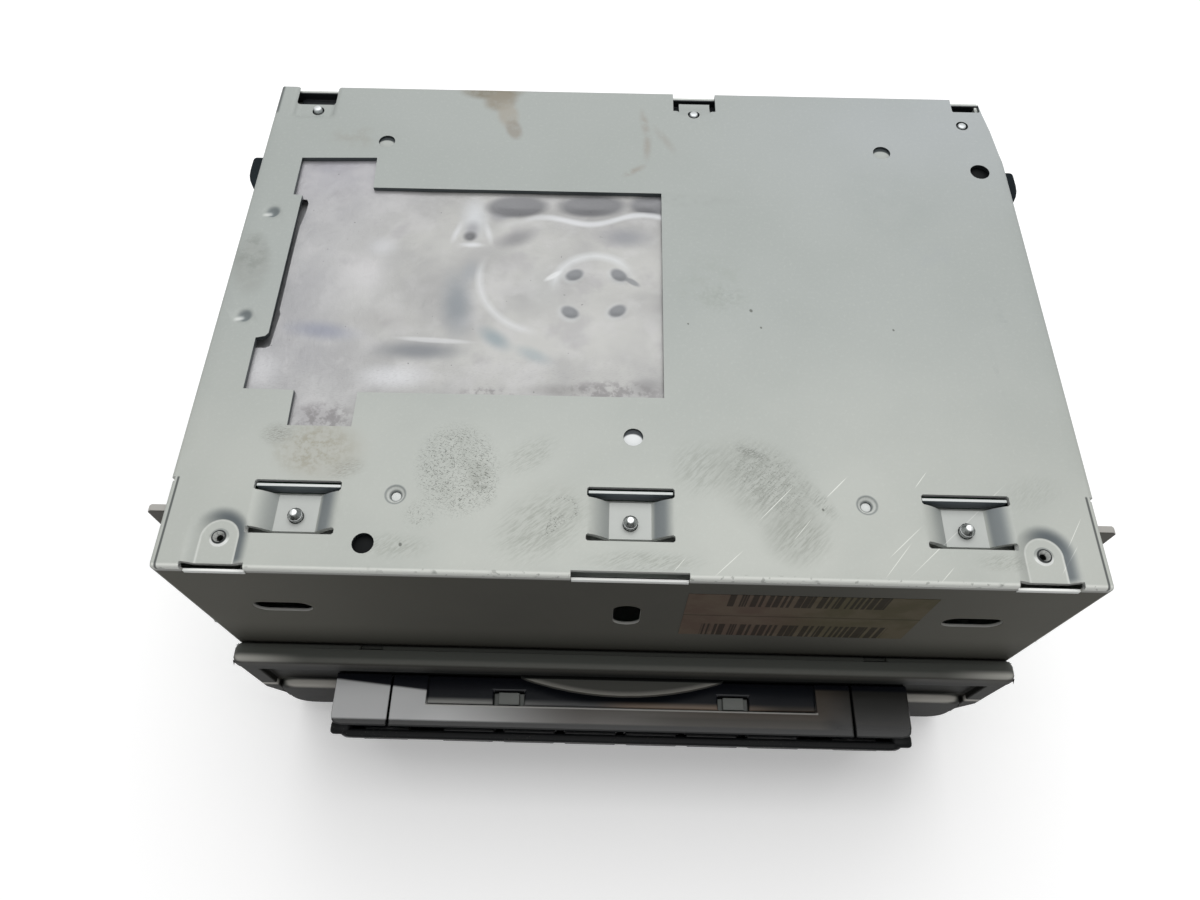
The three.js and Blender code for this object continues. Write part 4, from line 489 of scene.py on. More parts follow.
STAINS = [
    (-36, 67, 9.5, 4, 0, "767061", 0.95), (-33.6, 63.6, 5.4, 4.6, 30, "857f72", 0.9),
    (-31.4, 58.6, 3.4, 6, 12, "969186", 0.75), (-29.6, 53.4, 2.5, 4.6, 18, "88837a", 0.8),
    (-61.5, -38, 11, 8.5, 0, "a3a198", 0.5), (-85.5, 9, 5.5, 11, 10, "8f928e", 0.6),
    (26, -44, 17, 11, -48, "a0a39d", 0.45), (31, -54, 8, 8, 60, "9c9f99", 0.5),
    (-17, -51, 13, 9, 35, "a4a7a1", 0.4),
]
SPECKS = [
    (25.9, -1.1, 0.45), (27.8, -5.6, 0.3), (56.3, -5.5, 0.3), (12.1, -5, 0.25), (37, -48.5, 0.3),
    (-43.3, -57.7, 0.4),
]
STROKES = [(1.0, -22, 7, 0.58, 0.64), (0.9, 44, 8, 0.6, 0.66), (0.9, 98, 4, 0.63, 0.68)]
TOUCHES = [
    (-34, -41.5, 9.5, 12, 12, 0.4, 0.8), (-29.2, -43.5, 3.2, 7, 20, 0.5, 0.9),
    (-40, -51, 5, 4, 40, 0.7, 0.5), (-14.8, -53, 1.6, 4, -35, 0.5, 0.8),
    (27, -42, 13, 8, -48, 0.7, 0.45),
]
STREAKS = [
    (2, 61.5, 3.6, 51, 1.6, 1), (3.6, 54, 3.2, 43, 1.6, 1), (4.8, 56, 10.8, 45.4, 1.8, 0.6),
    (-1.5, 38.6, 2.9, 42, 1.4, 1),
]
DENTS = [(-84, 24.6), (-84.2, -5.4)]
SHADED_HOLES = [(-50.4, -57.6), (83.5, 42.1)]
BRIDGE_STEP = 64.8
RECESS_X, RECESS_Y = 78.0, -56.7
SUNK_X, SUNK_Y = 45.6, -47.3
print("smears, stains and scratches:", len(SMEARS), len(STAINS), len(SCRATCHES))

# %% [markdown]
# The coat is laid as a painter would: the plain steel in a painted light gradient, the
# stains and smears of dust and grease, the short strokes of a fingerprint, the painted
# shade and highlights of the dimples, and at last the hair lines and bright scratches
# that cut through all else.

# %% The cover's coat
coat = Finish("cover steel")
along, ahead = coat.mm("X"), coat.mm("Y")
# The plain steel is a painted light gradient: lighter towards the front, darker at the rear right.
coat.start(ahead.between(10, -60), "9ea3a0", "b1b4ae")
coat.lay(along.between(0, 80) * ahead.between(10, 65) * 0.7, "a5aaad")
coat.lay(coat.noise(30, 3.0).between(0.35, 0.7) * 0.22, "969c98")
coat.lay(coat.noise(0.8, 3.0, rough=0.7).between(0.5, 0.8) * 0.25, "bcc0bb")
mottle = coat.noise(2.4, 4.0, rough=0.6).between(0.25, 0.55) * 0.4 + 0.6
for x, y, half_x, half_y, degrees, code, amount in STAINS:
    coat.lay(coat.oval(x, y, half_x, half_y, degrees, 0.55) * mottle * amount, code)
for x, y, half_x, half_y, degrees, code, amount, grain, comb in SMEARS:
    lie = coat.place if comb is None else coat.combed(comb, 7.0)
    ragged = coat.noise(grain, 4.0, lie, 0.65).between(0.4, 0.64)
    coat.lay(coat.oval(x, y, half_x, half_y, degrees, 0.8) * ragged * amount, code)

strokes = strongest(*(
    coat.noise(size, 3.0, coat.combed(comb, ratio)).between(low, high)
    for size, comb, ratio, low, high in STROKES
))
curl = coat.ring(-13.0, -49.8, 2.6, 0.8) * coat.oval(-12.4, -49.4, 4.0, 3.2, 40, 0.3)
touched = strongest(curl, *(coat.oval(*oval) * amount for *oval, amount in TOUCHES))
coat.lay(strokes * touched, "484b44")
streaks = strongest(*(coat.line(*line, 1.0) * amount for *line, amount in STREAKS))
coat.lay(streaks * coat.noise(2.5).between(0.25, 0.55) * 0.55, "8b847a")
for x, y, radius in SPECKS:
    coat.lay(coat.oval(x, y, radius, radius * 1.3, 20, 0.5) * 0.8, "4c5049")
# Each dimple: painted shade on its rear right side and a painted highlight on its front left.
for x, y in DENTS:
    coat.lay(coat.oval(x + 0.3, y + 0.2, 2.0, 1.9, 0, 0.5) * 0.75, "5b6468")
    coat.lay(coat.oval(x - 1.0, y - 0.5, 0.8, 1.5, -42, 0.9) * 0.75, "dfe2df")

hairs = coat.noise(1.4, 1.0, coat.combed(47, 60)).between(0.72, 0.78)
hairs = hairs.most(coat.noise(1.6, 1.0, coat.combed(-20, 60)).between(0.75, 0.8))
coat.lay(hairs * 0.3, "d2d5cf")
for x0, y0, x1, y1, half_width in SCRATCHES:
    coat.lay(coat.line(x0, y0, x1, y1, half_width, 0.4) * 0.75, "dfe1db")
print("nodes in the coat:", len(coat.tree.nodes))

# %% [markdown]
# The ramps of the bridges and the walls of the recesses carry painted shade, the bridges'
# floors are laid pale, and the recesses' rims have painted highlights; the collars and
# the sunk holes have painted shade and painted highlights too. A painted highlight runs
# along the front bend, broken by wear, with dark scuffs behind it on the left, and dark
# lines lie beside the side edges at the front corners and on the left fold at the rear.
# A place is found by its distance from the middle of the nearest pressing.

# %% Tones in the pressings and along the edges
half_step = BRIDGE_STEP / 2
aside = coat.add("Math", {"operation": "WRAP"}, {0: along, 1: half_step, 2: -half_step})
in_strip = ahead.between(-55.3, -54.4) * ahead.between(-46.4, -46.9)
# Painted shade on the bridges' ramps, and their floors laid pale.
left_ramp = aside.between(-8.2, -4.4) * aside.between(-4.0, -4.2) * 0.5
ramps = (aside.between(4.0, 5.0) * aside.between(8.6, 6.2)).most(left_ramp)
coat.lay(ramps * in_strip * 0.75, "5d656b")
coat.lay(aside.size().between(4.2, 4.0) * in_strip * 0.6, "b4b7b5")

# Painted shade on the recess walls, heavier on their right and rear sides, and a painted highlight
# on their rims.
off_x, off_y = along - along.sign() * RECESS_X, ahead - RECESS_Y
behind = off_y.most(0.0)
from_arch = off_x.reach(behind)
shaded = ((off_x * 0.75 + behind * 0.65) / from_arch.most(0.1)).between(-0.5, 0.9)
walls = from_arch.between(3.6, 3.8) * from_arch.between(6.4, 4.2) * (ahead + 62.8).between(0, 2)
coat.lay(walls * (shaded * 0.8 + 0.08), "50595f")
coat.lay(from_arch.between(3.75, 3.65) * from_arch.between(3.2, 3.5) * 0.3, "e0e2de")
# The collars: a painted highlight on the front of each rim, painted shade at its back and painted
# black shade in the hole.
from_collar = off_x.reach(off_y)
rim = from_collar.between(1.3, 1.5)
coat.lay(rim * from_collar.between(2.0, 1.8) * off_y.between(0.3, -1.0) * 0.8, "eef0ee")
coat.lay(rim * from_collar.between(1.95, 1.75) * off_y.between(-0.4, 0.8) * 0.5, "6a7072")
coat.lay(from_collar.between(1.5, 1.35), "1d2122")
# The sunk holes: painted rings of shade and highlight, and painted shade inside.
from_sunk = (along.size() - SUNK_X).reach(ahead - SUNK_Y)
coat.lay((from_sunk - 1.95).size().between(0.3, 0.05) * 0.6, "5f6668")
coat.lay((from_sunk - 1.5).size().between(0.3, 0.05) * 0.5, "dfe2e0")
coat.lay(from_sunk.between(1.35, 1.1) * 0.75, "596063")

# A painted highlight along the front bend, broken by wear.
worn = coat.noise(2.5, 3.0).between(0.25, 0.4)
coat.lay(ahead.between(-62.3, -62.8) * worn * 0.9, "e3e5df")
scuffs = coat.noise(1.3, 3.0).between(0.6, 0.66) * along.between(-60, -30)
coat.lay(ahead.between(-62.0, -62.5) * scuffs * 0.4, "5f625b")
coat.lay(along.between(-88.6, -89.3) * ahead.between(57.0, 58.5) * 0.8, "3a4042")
beside = (along.size() - 88.35).size().between(0.32, 0.12) * ahead.between(-44.3, -44.7)
coat.lay(beside * 0.85, "2c3132")
shine = coat.noise(30, 3.0).between(0.3, 0.7) * 0.05 + coat.noise(0.9, 4.0, rough=0.7) * 0.12
dents = coat.bump(coat.noise(34, 1.0) * 8.0 + coat.noise(0.7, 3.0), 0.008)
cover_steel = coat.done(
    Roughness=shine + 0.38, Metallic=0.1, Specular_IOR_Level=0.35, Normal=dents
)

cut, cut_shine = steel_base("sheared edge", "bfc1be", "d5d7d4", 0.4, 0.35)
# Painted shade on the sheared edges behind y -44, the window's far edge among them, and near black
# painted shade round two holes.
cut.lay(cut.mm("Y").between(-44.1, -43.6), "4b5153")
for x, y in SHADED_HOLES:
    cut.lay(cut.oval(x, y, 3.5, 3.5, 0, 0.2), "2b2f31")
sheared_edge = cut.done(Roughness=cut_shine)
print("nodes in the cover's finish:", len(coat.tree.nodes))

# %% [markdown]
# The bottom cover is one blank of 1 mm sheet. In the works it is punched flat, pressed
# and then folded, and this lesson makes it the same way. A coarse grid is the blank.
# Scoring lines, made with bisect_plane, put edges exactly where holes and creases go,
# and a finer grid is made only where the press needs it.

# %% The blank of the bottom cover
HALF_WIDTH, FRONT, REAR, FACE = 89.9, -63.2, 67.2, 100.0
BEND = 0.8
FRONT_LIP = 0.4
SHEET = 1.0
ARC = BEND * math.pi / 2
FLANGE = 9.8
BLANK_HALF = HALF_WIDTH - BEND + ARC + FLANGE
BLANK_FRONT = FRONT + BEND - ARC - FRONT_LIP
COLUMNS, ROWS = 44, 30
BRIDGES = (-BRIDGE_STEP, 0.0, BRIDGE_STEP)

blank = bmesh.new()
bmesh.ops.create_grid(blank, x_segments=COLUMNS, y_segments=ROWS, size=0.5)
bmesh.ops.scale(blank, verts=blank.verts, vec=(2 * BLANK_HALF, REAR - BLANK_FRONT, 1))
bmesh.ops.translate(blank, verts=blank.verts, vec=(0, (REAR + BLANK_FRONT) / 2, 0))


def faces_near(shape, low, high):
    """The faces whose middles lie inside a rectangle, with their edges and corners."""
    faces = []
    for face in shape.faces:
        middle = face.calc_center_bounds()
        if low[0] <= middle.x <= high[0] and low[1] <= middle.y <= high[1]:
            faces.append(face)
    edges = {edge for face in faces for edge in face.edges}
    return faces + list(edges) + list({corner for edge in edges for corner in edge.verts})


def score(shape, part, point, across):
    """Scores a straight line through a part of the sheet, and returns the scored part."""
    found = bmesh.ops.bisect_plane(shape, geom=part, dist=1e-4, plane_co=point, plane_no=across)
    return found["geom"]


def refine(low, high, cuts):
    """Divides the faces in a rectangle into finer ones."""
    part = faces_near(blank, low, high)
    edges = [item for item in part if isinstance(item, bmesh.types.BMEdge)]
    bmesh.ops.subdivide_edges(blank, edges=edges, cuts=cuts, use_grid_fill=True)


def score_across(point, across):
    """Scores a straight line through the whole blank."""
    score(blank, [*blank.verts, *blank.edges, *blank.faces], point, across)


FINE = [((-89, -64), (-68, -48), 7), ((68, -64), (89, -48), 7)]
FINE += [((x - 4, y - 4), (x + 4, y + 4), 7) for x, y in DENTS]
FINE += [((-89, 54), (-72, 67), 7), ((6, 54), (24, 67), 5)]
FINE += [((middle - 9, -55), (middle + 9, -46), 3) for middle in BRIDGES]
for low, high, cuts in FINE:
    refine(low, high, cuts)
BEND_STEPS = 5
for step in range(BEND_STEPS + 1):
    round_arc = ARC * step / BEND_STEPS
    for side in (-1, 1):
        score_across((side * (HALF_WIDTH - BEND + round_arc), 0, 0), (1, 0, 0))
    score_across((0, FRONT + BEND - round_arc, 0), (0, 1, 0))
print("faces in the blank:", len(blank.faces))

# %% [markdown]
# Each opening is a ring of points in mm. Its sides are scored into the sheet, and the
# faces inside fall out, as the slug does under a punch. Round holes are the same thing
# with a ring of points on a circle.

# %% Punch the openings
MARGIN = 6.0


def score_outline(shape, ring, margin=MARGIN):
    """Scores each side of an outline into the faces round it."""
    low = [min(point[axis] for point in ring) - margin for axis in (0, 1)]
    high = [max(point[axis] for point in ring) + margin for axis in (0, 1)]
    part = faces_near(shape, low, high)
    for start, end in zip(ring, ring[1:] + ring[:1]):
        across = (end[1] - start[1], start[0] - end[0], 0)
        part = score(shape, part, (*start, 0), across)
    return [item for item in part if isinstance(item, bmesh.types.BMFace)]


def inside(point, ring):
    """Whether a ray from a point crosses a ring's sides an odd number of times."""
    crossings = 0
    for (x0, y0), (x1, y1) in zip(ring, ring[1:] + ring[:1]):
        if (y0 > point.y) != (y1 > point.y):
            crossings += point.x < x0 + (point.y - y0) / (y1 - y0) * (x1 - x0)
    return crossings % 2 == 1


def punch(shape, ring, margin=MARGIN):
    faces = score_outline(shape, ring, margin)
    slug = [face for face in faces if face.is_valid and inside(face.calc_center_median(), ring)]
    bmesh.ops.delete(shape, geom=slug, context="FACES")


def circle(x, y, radius, sides=20):
    turns = [math.tau * (step + 0.5) / sides for step in range(sides)]
    return [(x + radius * math.cos(turn), y + radius * math.sin(turn)) for turn in turns]


def rectangle(x0, x1, y0, y1, corner=0.0):
    """A rectangle, its corners cut off by a length in mm."""
    if not corner:
        return [(x0, y0), (x1, y0), (x1, y1), (x0, y1)]
    low = [(x0 + corner, y0), (x1 - corner, y0), (x1, y0 + corner)]
    high = [(x1, y1 - corner), (x1 - corner, y1), (x0 + corner, y1)]
    return low + high + [(x0, y1 - corner), (x0, y0 + corner)]


WINDOW = [
    (-80.1, 42.2), (-62, 42.7), (-61.5, 32.9), (6.7, 32.9), (6.7, -24), (-56.5, -24.2),
    (-56.5, -32.4), (-69.5, -32.4), (-69.7, -24), (-80.2, -23.9), (-80.3, -11.1),
    (-78.4, -10.6), (-77.8, -9.8), (-77.9, 30), (-80, 30.2),
]
HOLES = [
    (0.4, -33.4, 2), (-50.4, -57.6, 2.1), (83.5, 42.1, 2.3), (-60.4, 48.3, 2), (60.6, 47.8, 2.1),
]
SUNK = [(-SUNK_X, SUNK_Y), (SUNK_X, SUNK_Y)]
SUNK_RIM, SUNK_HOLE = 1.9, 1.0
RECESSES = [(-RECESS_X, RECESS_Y), (RECESS_X, RECESS_Y)]
RECESS_FLOOR, RECESS_RIM = 3.6, 5.9
COLLAR_RIM, COLLAR_HOLE = 1.9, 1.1
BRIDGE_HALF, FLOOR_HALF = 8.5, 4.1
SLIT_FRONT, STRIP_FRONT, STRIP_REAR, SLIT_REAR = -56.0, -54.5, -46.8, -44.7
SLIT_CORNER = 0.35
SLIT_REACH = 1.2
WRAP_REAR, WRAP_EDGE = -44.5, 89.0
REAR_SCREWS = [(-79.4, 59.4), (15.1, 60.0), (81.9, 57.8)]
SCREW_HOLE = 1.5
BRIDGE_SCREW_Y = -51.4
NOTCH_HALF = 11.1
OUT, FORE, BESIDE = REAR + 1, BLANK_FRONT - 1, BLANK_HALF + 1
CORNER_LINE = [(90.6, 40), (89.9, 44), (89.2, 48), (88.5, 56), (87.6, 62), (86.9, OUT)]
REAR_NOTCHES = [
    rectangle(-85.1, -75.3, 61.7, OUT, 0.3),
    [(10, 61.1), (11.5, 61.1), (11.5, 64.5), (19.2, 64.5), (19.2, 61.1), (20.6, 61.1)]
    + [(20.6, OUT), (10, OUT)],
    rectangle(80.3, 87.2, 62.7, OUT, 0.3),
    CORNER_LINE + [(BESIDE, OUT), (BESIDE, 40)],
]

punch(blank, WINDOW)
for x, y, radius in HOLES:
    punch(blank, circle(x, y, radius))
for x, y in SUNK:
    score_outline(blank, circle(x, y, SUNK_RIM), 3)
    punch(blank, circle(x, y, SUNK_HOLE), 3)
for x, y in RECESSES:
    arch = [(x + RECESS_FLOOR, FRONT)]
    for step in range(13):
        turn = math.pi * step / 12
        arch.append((x + RECESS_FLOOR * math.cos(turn), y + RECESS_FLOOR * math.sin(turn)))
    score_outline(blank, arch + [(x - RECESS_FLOOR, FRONT)], 1)
    score_outline(blank, circle(x, y, COLLAR_RIM), 1)
    punch(blank, circle(x, y, COLLAR_HOLE), 1)
    punch(blank, rectangle(x - 6, x + 6, FORE, FRONT + SLIT_REACH), 2)
punch(blank, rectangle(-NOTCH_HALF, NOTCH_HALF, FORE, FRONT + SLIT_REACH), 4)
for x, y in REAR_SCREWS:
    punch(blank, circle(x, y, SCREW_HOLE), 3)
for middle in BRIDGES:
    x0, x1 = middle - BRIDGE_HALF, middle + BRIDGE_HALF
    punch(blank, rectangle(x0, x1, SLIT_FRONT, STRIP_FRONT, SLIT_CORNER), 3)
    punch(blank, rectangle(x0, x1, STRIP_REAR, SLIT_REAR, SLIT_CORNER), 3)
    x0, x1 = middle - FLOOR_HALF, middle + FLOOR_HALF
    score_outline(blank, rectangle(x0, x1, STRIP_FRONT, STRIP_REAR), 3)
    punch(blank, circle(middle, BRIDGE_SCREW_Y, SCREW_HOLE), 2)
for ring in REAR_NOTCHES:
    punch(blank, ring, 4)
for side in (-1, 1):
    near, far = sorted((side * WRAP_EDGE, side * BESIDE))
    punch(blank, rectangle(near, far, FORE, WRAP_REAR), 3)
print("faces after punching:", len(blank.faces))

# %% [markdown]
# The press pushes the bridges, the recesses and the small dimples down. Each is a rule
# that gives a depth for a point of the sheet: a bridge's floor is flat and crisp at its
# creases, and its ramps run out softly, while the recesses have soft walls all round.

# %% Press the sheet
BRIDGE_DEPTH, RECESS_DEPTH, DIMPLE_DEPTH, SUNK_DEPTH, COLLAR_HEIGHT = 2.6, 1.0, 1.1, 0.9, 0.45
DIMPLE_RADIUS, DIMPLE_FLOOR = 2.0, 0.3
POCKET_DEPTH = 0.8
POCKETS = [(-80.2, 5.6, 1.4, 56.0, 1.4), (15.35, 4.6, 0.8, 59.5, 4.0)]
CREASE = 0.05
RAMP_CURVE = 1.5


def clamped(share):
    return min(max(share, 0.0), 1.0)


def eased(share):
    share = clamped(share)
    return share * share * (3 - 2 * share)


def cone(x, y, places, rim, hole, depth):
    """The depth of a cone that runs down from a rim to a hole."""
    reach = min(math.hypot(x - px, y - py) for px, py in places)
    return depth * clamped((rim - reach) / (rim - hole))


def ramp(reach, floor, rim, depth):
    """The depth of a flat floor whose walls run out softly."""
    return depth * (1 - clamped((reach - floor) / (rim - floor))) ** RAMP_CURVE


def pressed(x, y):
    """How far the press has pushed the sheet down at a point, in mm."""
    depth = cone(x, y, SUNK, SUNK_RIM, SUNK_HOLE, SUNK_DEPTH)
    depth += cone(x, y, DENTS, DIMPLE_RADIUS, DIMPLE_FLOOR, DIMPLE_DEPTH)
    if STRIP_FRONT - CREASE < y < STRIP_REAR + CREASE:
        reach = min(abs(x - middle) for middle in BRIDGES)
        depth += ramp(reach, FLOOR_HALF, BRIDGE_HALF, BRIDGE_DEPTH)
    for px, py in RECESSES:
        reach = math.hypot(x - px, max(0.0, y - py))
        depth += ramp(reach, RECESS_FLOOR, RECESS_RIM, RECESS_DEPTH)
    depth -= cone(x, y, RECESSES, COLLAR_RIM, COLLAR_HOLE, COLLAR_HEIGHT)
    for px, half, side_soft, start, soft in POCKETS:
        depth += POCKET_DEPTH * eased((half - abs(x - px)) / side_soft) * eased((y - start) / soft)
    return depth


for corner in blank.verts:
    corner.co.z -= pressed(corner.co.x, corner.co.y)
print("pressed down to", round(min(corner.co.z for corner in blank.verts), 2), "mm")

# %% [markdown]
# The folds come last. A point past the bend line goes round the arc and then straight
# down, by as much as it lay outside. The front edge only goes round the arc, because
# there the front plate takes over. Solidify then gives the sheet its thickness, with
# a material of its own on the sheared edges, which are bare and bright.

# %% Fold the sheet and give it its thickness
def folded(past):
    """Where a point goes that lies past the bend line by some mm: along, and down."""
    if past <= 0:
        return past, 0.0
    turn = min(past, ARC) / BEND
    return BEND * math.sin(turn), BEND * (1 - math.cos(turn)) + max(past - ARC, 0.0)


for corner in blank.verts:
    outwards, down = folded(abs(corner.co.x) - (HALF_WIDTH - BEND))
    forwards, fall = folded(FRONT + BEND - corner.co.y)
    corner.co.x = math.copysign(HALF_WIDTH - BEND + outwards, corner.co.x)
    corner.co.y = FRONT + BEND - forwards
    corner.co.z += FACE - max(down, fall)
bmesh.ops.scale(blank, verts=blank.verts, vec=(MM, MM, MM))


def settle(shape, name, finishes, body="case", modifiers=(), sharp=40.0):
    """Makes a piece of a bmesh, applies its modifiers, and marks its sharp edges."""
    mesh = bpy.data.meshes.new(name)
    shape.to_mesh(mesh)
    shape.free()
    for finish in finishes:
        mesh.materials.append(finish)
    piece = bpy.data.objects.new(name, mesh)
    bpy.context.scene.collection.objects.link(piece)
    for kind, settings in modifiers:
        modifier = piece.modifiers.new(kind.lower(), kind)
        for key, value in settings.items():
            setattr(modifier, key, value)
    if modifiers:
        bpy.context.view_layer.update()
        shown = piece.evaluated_get(bpy.context.evaluated_depsgraph_get())
        piece.data = bpy.data.meshes.new_from_object(shown)
        piece.modifiers.clear()
    piece.data.shade_smooth()
    piece.data.set_sharp_from_angle(angle=math.radians(sharp))
    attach(piece, body)
    return piece


solid_sheet = ("SOLIDIFY", {"thickness": SHEET * MM, "offset": -1, "material_offset_rim": 1})
cover = settle(blank, "cover_sheet", [cover_steel, sheared_edge], modifiers=[solid_sheet])
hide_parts("bottom_cover")
print("faces of the cover:", len(cover.data.polygons))

# %% [markdown]
# Behind each bridge the sheet is bent straight down. Its wall has painted shade, and its
# sheared top edge is bare steel with a painted highlight. Bosses under some holes close
# them a little way down; they carry painted highlights, painted shadow crescents and
# painted black shade. All are blocks and discs whose edges are bevelled.

# %% The lips behind the bridges and the bosses under the holes
LIP_HALF, LIP_FRONT, LIP_REAR, LIP_FOOT, LIP_TOP = 8.25, -45.9, -45.25, 96.5, 99.55
BOSS_THICKNESS = 1.0


def block(shape, x0, x1, y0, y1, z0, z1):
    """Adds a block to a bmesh, between six limits in mm."""
    made = bmesh.ops.create_cube(shape, size=1.0)["verts"]
    limits = ((x0, x1), (y0, y1), (z0, z1))
    bmesh.ops.scale(shape, verts=made, vec=[(high - low) * MM for low, high in limits])
    bmesh.ops.translate(shape, verts=made, vec=[(low + high) / 2 * MM for low, high in limits])
    return made


def disc(shape, x, y, foot, top, radius, sides, taper=1.0):
    """Adds an upright disc to a bmesh in mm, its top narrower by taper."""
    sizes = {"radius1": radius * MM, "radius2": radius * taper * MM, "depth": (top - foot) * MM}
    place = Matrix.Translation((x * MM, y * MM, (foot + top) / 2 * MM))
    bmesh.ops.create_cone(shape, cap_ends=True, segments=sides, matrix=place, **sizes)


def bevel_all(shape, width, segments=2, sharper_than=25.0):
    """Bevels every edge of a bmesh that turns by more than an angle."""
    limit = math.radians(sharper_than)
    edges = [edge for edge in shape.edges if edge.calc_face_angle(0.0) > limit]
    settings = {"offset_type": "OFFSET", "affect": "EDGES", "profile": 0.5, "material": -1}
    bmesh.ops.bevel(shape, geom=edges, offset=width * MM, segments=segments, **settings)


lips = bmesh.new()
for middle in BRIDGES:
    block(lips, middle - LIP_HALF, middle + LIP_HALF, LIP_FRONT, LIP_REAR, LIP_FOOT, LIP_TOP)
for face in lips.faces:
    face.material_index = int(face.calc_center_median().z > (LIP_TOP - 0.1) * MM)
bevel_all(lips, 0.15)
settle(lips, "bridge_lips", [shaded_lip_steel, lip_edge])

BOSSES = [
    (0.4, -33.4, 1.98, 99.6), (-60.4, 48.3, 1.98, 99.5), (60.6, 47.8, 2.08, 99.5),
    (-45.6, -47.3, 0.97, 98.9), (45.6, -47.3, 0.97, 98.9),
    (-50.4, -57.6, 2.6, 98.9), (83.5, 42.1, 2.8, 98.9),
]
boss = Finish("boss steel")
boss.start(boss.mm("Z").between(98.9, 99.2), "d9dcda", "b4b8b4")
# A painted highlight on the boss under the middle hole, painted shadow crescents from the rims of
# three holes, and near black painted shade under two more.
boss.lay(boss.oval(0.4, -33.4, 3, 3, 0, 0.1), "e9ecec")
for x, y, radius, top in BOSSES[:3]:
    lit = boss.oval(x - 0.1, y - 1.0, radius + 0.35, radius + 0.1, 0, 0.2)
    boss.lay(boss.oval(x, y, 3.0, 3.0, 0, 0.1) * (1 - lit) * 0.95, "2f3538")
for x, y in SHADED_HOLES:
    boss.lay(boss.oval(x, y, 3.5, 3.5, 0, 0.1), "0b0d0e")
boss_steel = boss.done(Roughness=0.6, Specular_IOR_Level=0.1)
bosses = bmesh.new()
for x, y, radius, top in BOSSES:
    disc(bosses, x, y, top - BOSS_THICKNESS, top, radius, 24)
bevel_all(bosses, 0.08)
settle(bosses, "hole_bosses", [boss_steel])
print("lips and bosses:", len(BRIDGES), len(BOSSES))

# %% [markdown]
# Three screws hold the cover's rear edge, and only their round tips show. In the slits
# of the front edge a thin strip stands for the cut top of the front plate: bare cut steel
# with a painted highlight.

# %% Screw tips and the bright strips in the slits
TIP_RADIUS, TIP_TAPER, TIP_FOOT, TIP_TOP = 1.25, 0.8, 97.6, 100.2
tips = bmesh.new()
for x, y in REAR_SCREWS:
    disc(tips, x, y, TIP_FOOT, TIP_TOP, TIP_RADIUS, 20, TIP_TAPER)
bevel_all(tips, 0.3, 3)
tip_metal = plain_steel("screw tip metal", "a3a7a8", "c3c7c8", 0.6, 0.3)
settle(tips, "rear_screw_tips", [tip_metal])

STRIPS = [(-83.8, -72.2), (-11.0, 11.0), (72.2, 83.8)]
EDGE_FRONT, EDGE_REAR, EDGE_FOOT, EDGE_TOP = -63.28, -62.75, 97.2, 98.3
strips = bmesh.new()
for x0, x1 in STRIPS:
    block(strips, x0, x1, EDGE_FRONT, EDGE_REAR, EDGE_FOOT, EDGE_TOP)
bevel_all(strips, 0.08)
# Near white: bare cut steel with a painted highlight.
strip_metal = plain_steel("cut steel", "eceeea", "f4f5f2", 0.0, 0.5)
settle(strips, "slit_strips", [strip_metal])
print("screw tips and strips:", len(REAR_SCREWS), len(STRIPS))

# %% [markdown]
# The moulded parts share one plastic recipe: a colour, a very fine spark eroded
# texture in the mould, a little dust in it, and a roughness of its own.

# %% Moulded plastics
def moulded(name, dark, light, rough, texture=0.5, depth=0.012, gloss=0.5):
    finish = Finish(name)
    clouds = finish.noise(22, 3.0).between(0.3, 0.7)
    dust = finish.noise(0.35, 2.0).between(0.62, 0.75) * clouds
    finish.start(clouds, dark, light)
    finish.lay(dust * 0.25, "8b8880")
    pebbles = finish.noise(texture, 2.0)
    shine = clouds * 0.08 + dust * 0.3 + (rough - 0.04)
    normal = finish.bump(pebbles, depth)
    return finish.done(Roughness=shine, Normal=normal, Specular_IOR_Level=gloss)


key_names = ["eject", "map", "menu", "audio", "tune_down", "tune_up"]
key_plastic = moulded("key plastic", "1c1d1e", "26282a", 0.4)
clip_plastic = moulded("clip plastic", "6d706c", "7d807c", 0.45)
rubber = moulded("dark rubber", "1e2326", "2a3135", 0.8, 0.8, 0.03, 0.03)
black_plastic = moulded("black plastic", "1b1c1d", "242526", 0.45)
socket_plastic = moulded("socket plastic", "c9c4b4", "d8d3c4", 0.45)
gear_plastic = moulded("gear plastic", "d9d7cd", "e6e4db", 0.38)
lens_plastic = moulded("lens plastic", "5a4a6a", "74608a", 0.1, 4.0, 0.002)
dress(["bar_clips"], clip_plastic, 0.15)
dress(["left_bumper", "right_bumper"], rubber, 0.4)
dress([f"{name}_key" for name in key_names], key_plastic, 0.3)
dress(["volume_rocker", "track_rocker"], key_plastic, 0.3)
dress(["fan_frame", "fan_rotor", "slot_shutter", "disc_guide", "clamp_puck"], black_plastic, 0.2)
dress(["roller_gear", "idler_gear", "motor_pinion"], gear_plastic, 0.08)
dress(["power_socket"], socket_plastic, 0.05, 1)
dress(["pickup_lens"], lens_plastic, 0.05)

# %% [markdown]
# The fascia's top faces are paler in painted light, with painted shade where they run
# under the case, and a painted highlight runs along the rail's edge, brightest at both
# ends. The wall under the rail and the faces below the lower rail have painted shade, and
# the lower rail's top edge a painted highlight. The slot's lip is a shallow arch, whose
# rim has a painted highlight.

# %% The fascia's finish
LIP_CURVE, LIP_RIM = 0.0066, -72.0
shell = Finish("charcoal plastic")
along, ahead, up = (shell.mm(axis) for axis in "XYZ")
upward_share = shell.facing("Z", 0.3, 0.8)
at_ends = along.size().between(72, 88)
shell.start(shell.noise(22, 3.0).between(0.3, 0.7), "33322f", "3b3a36")
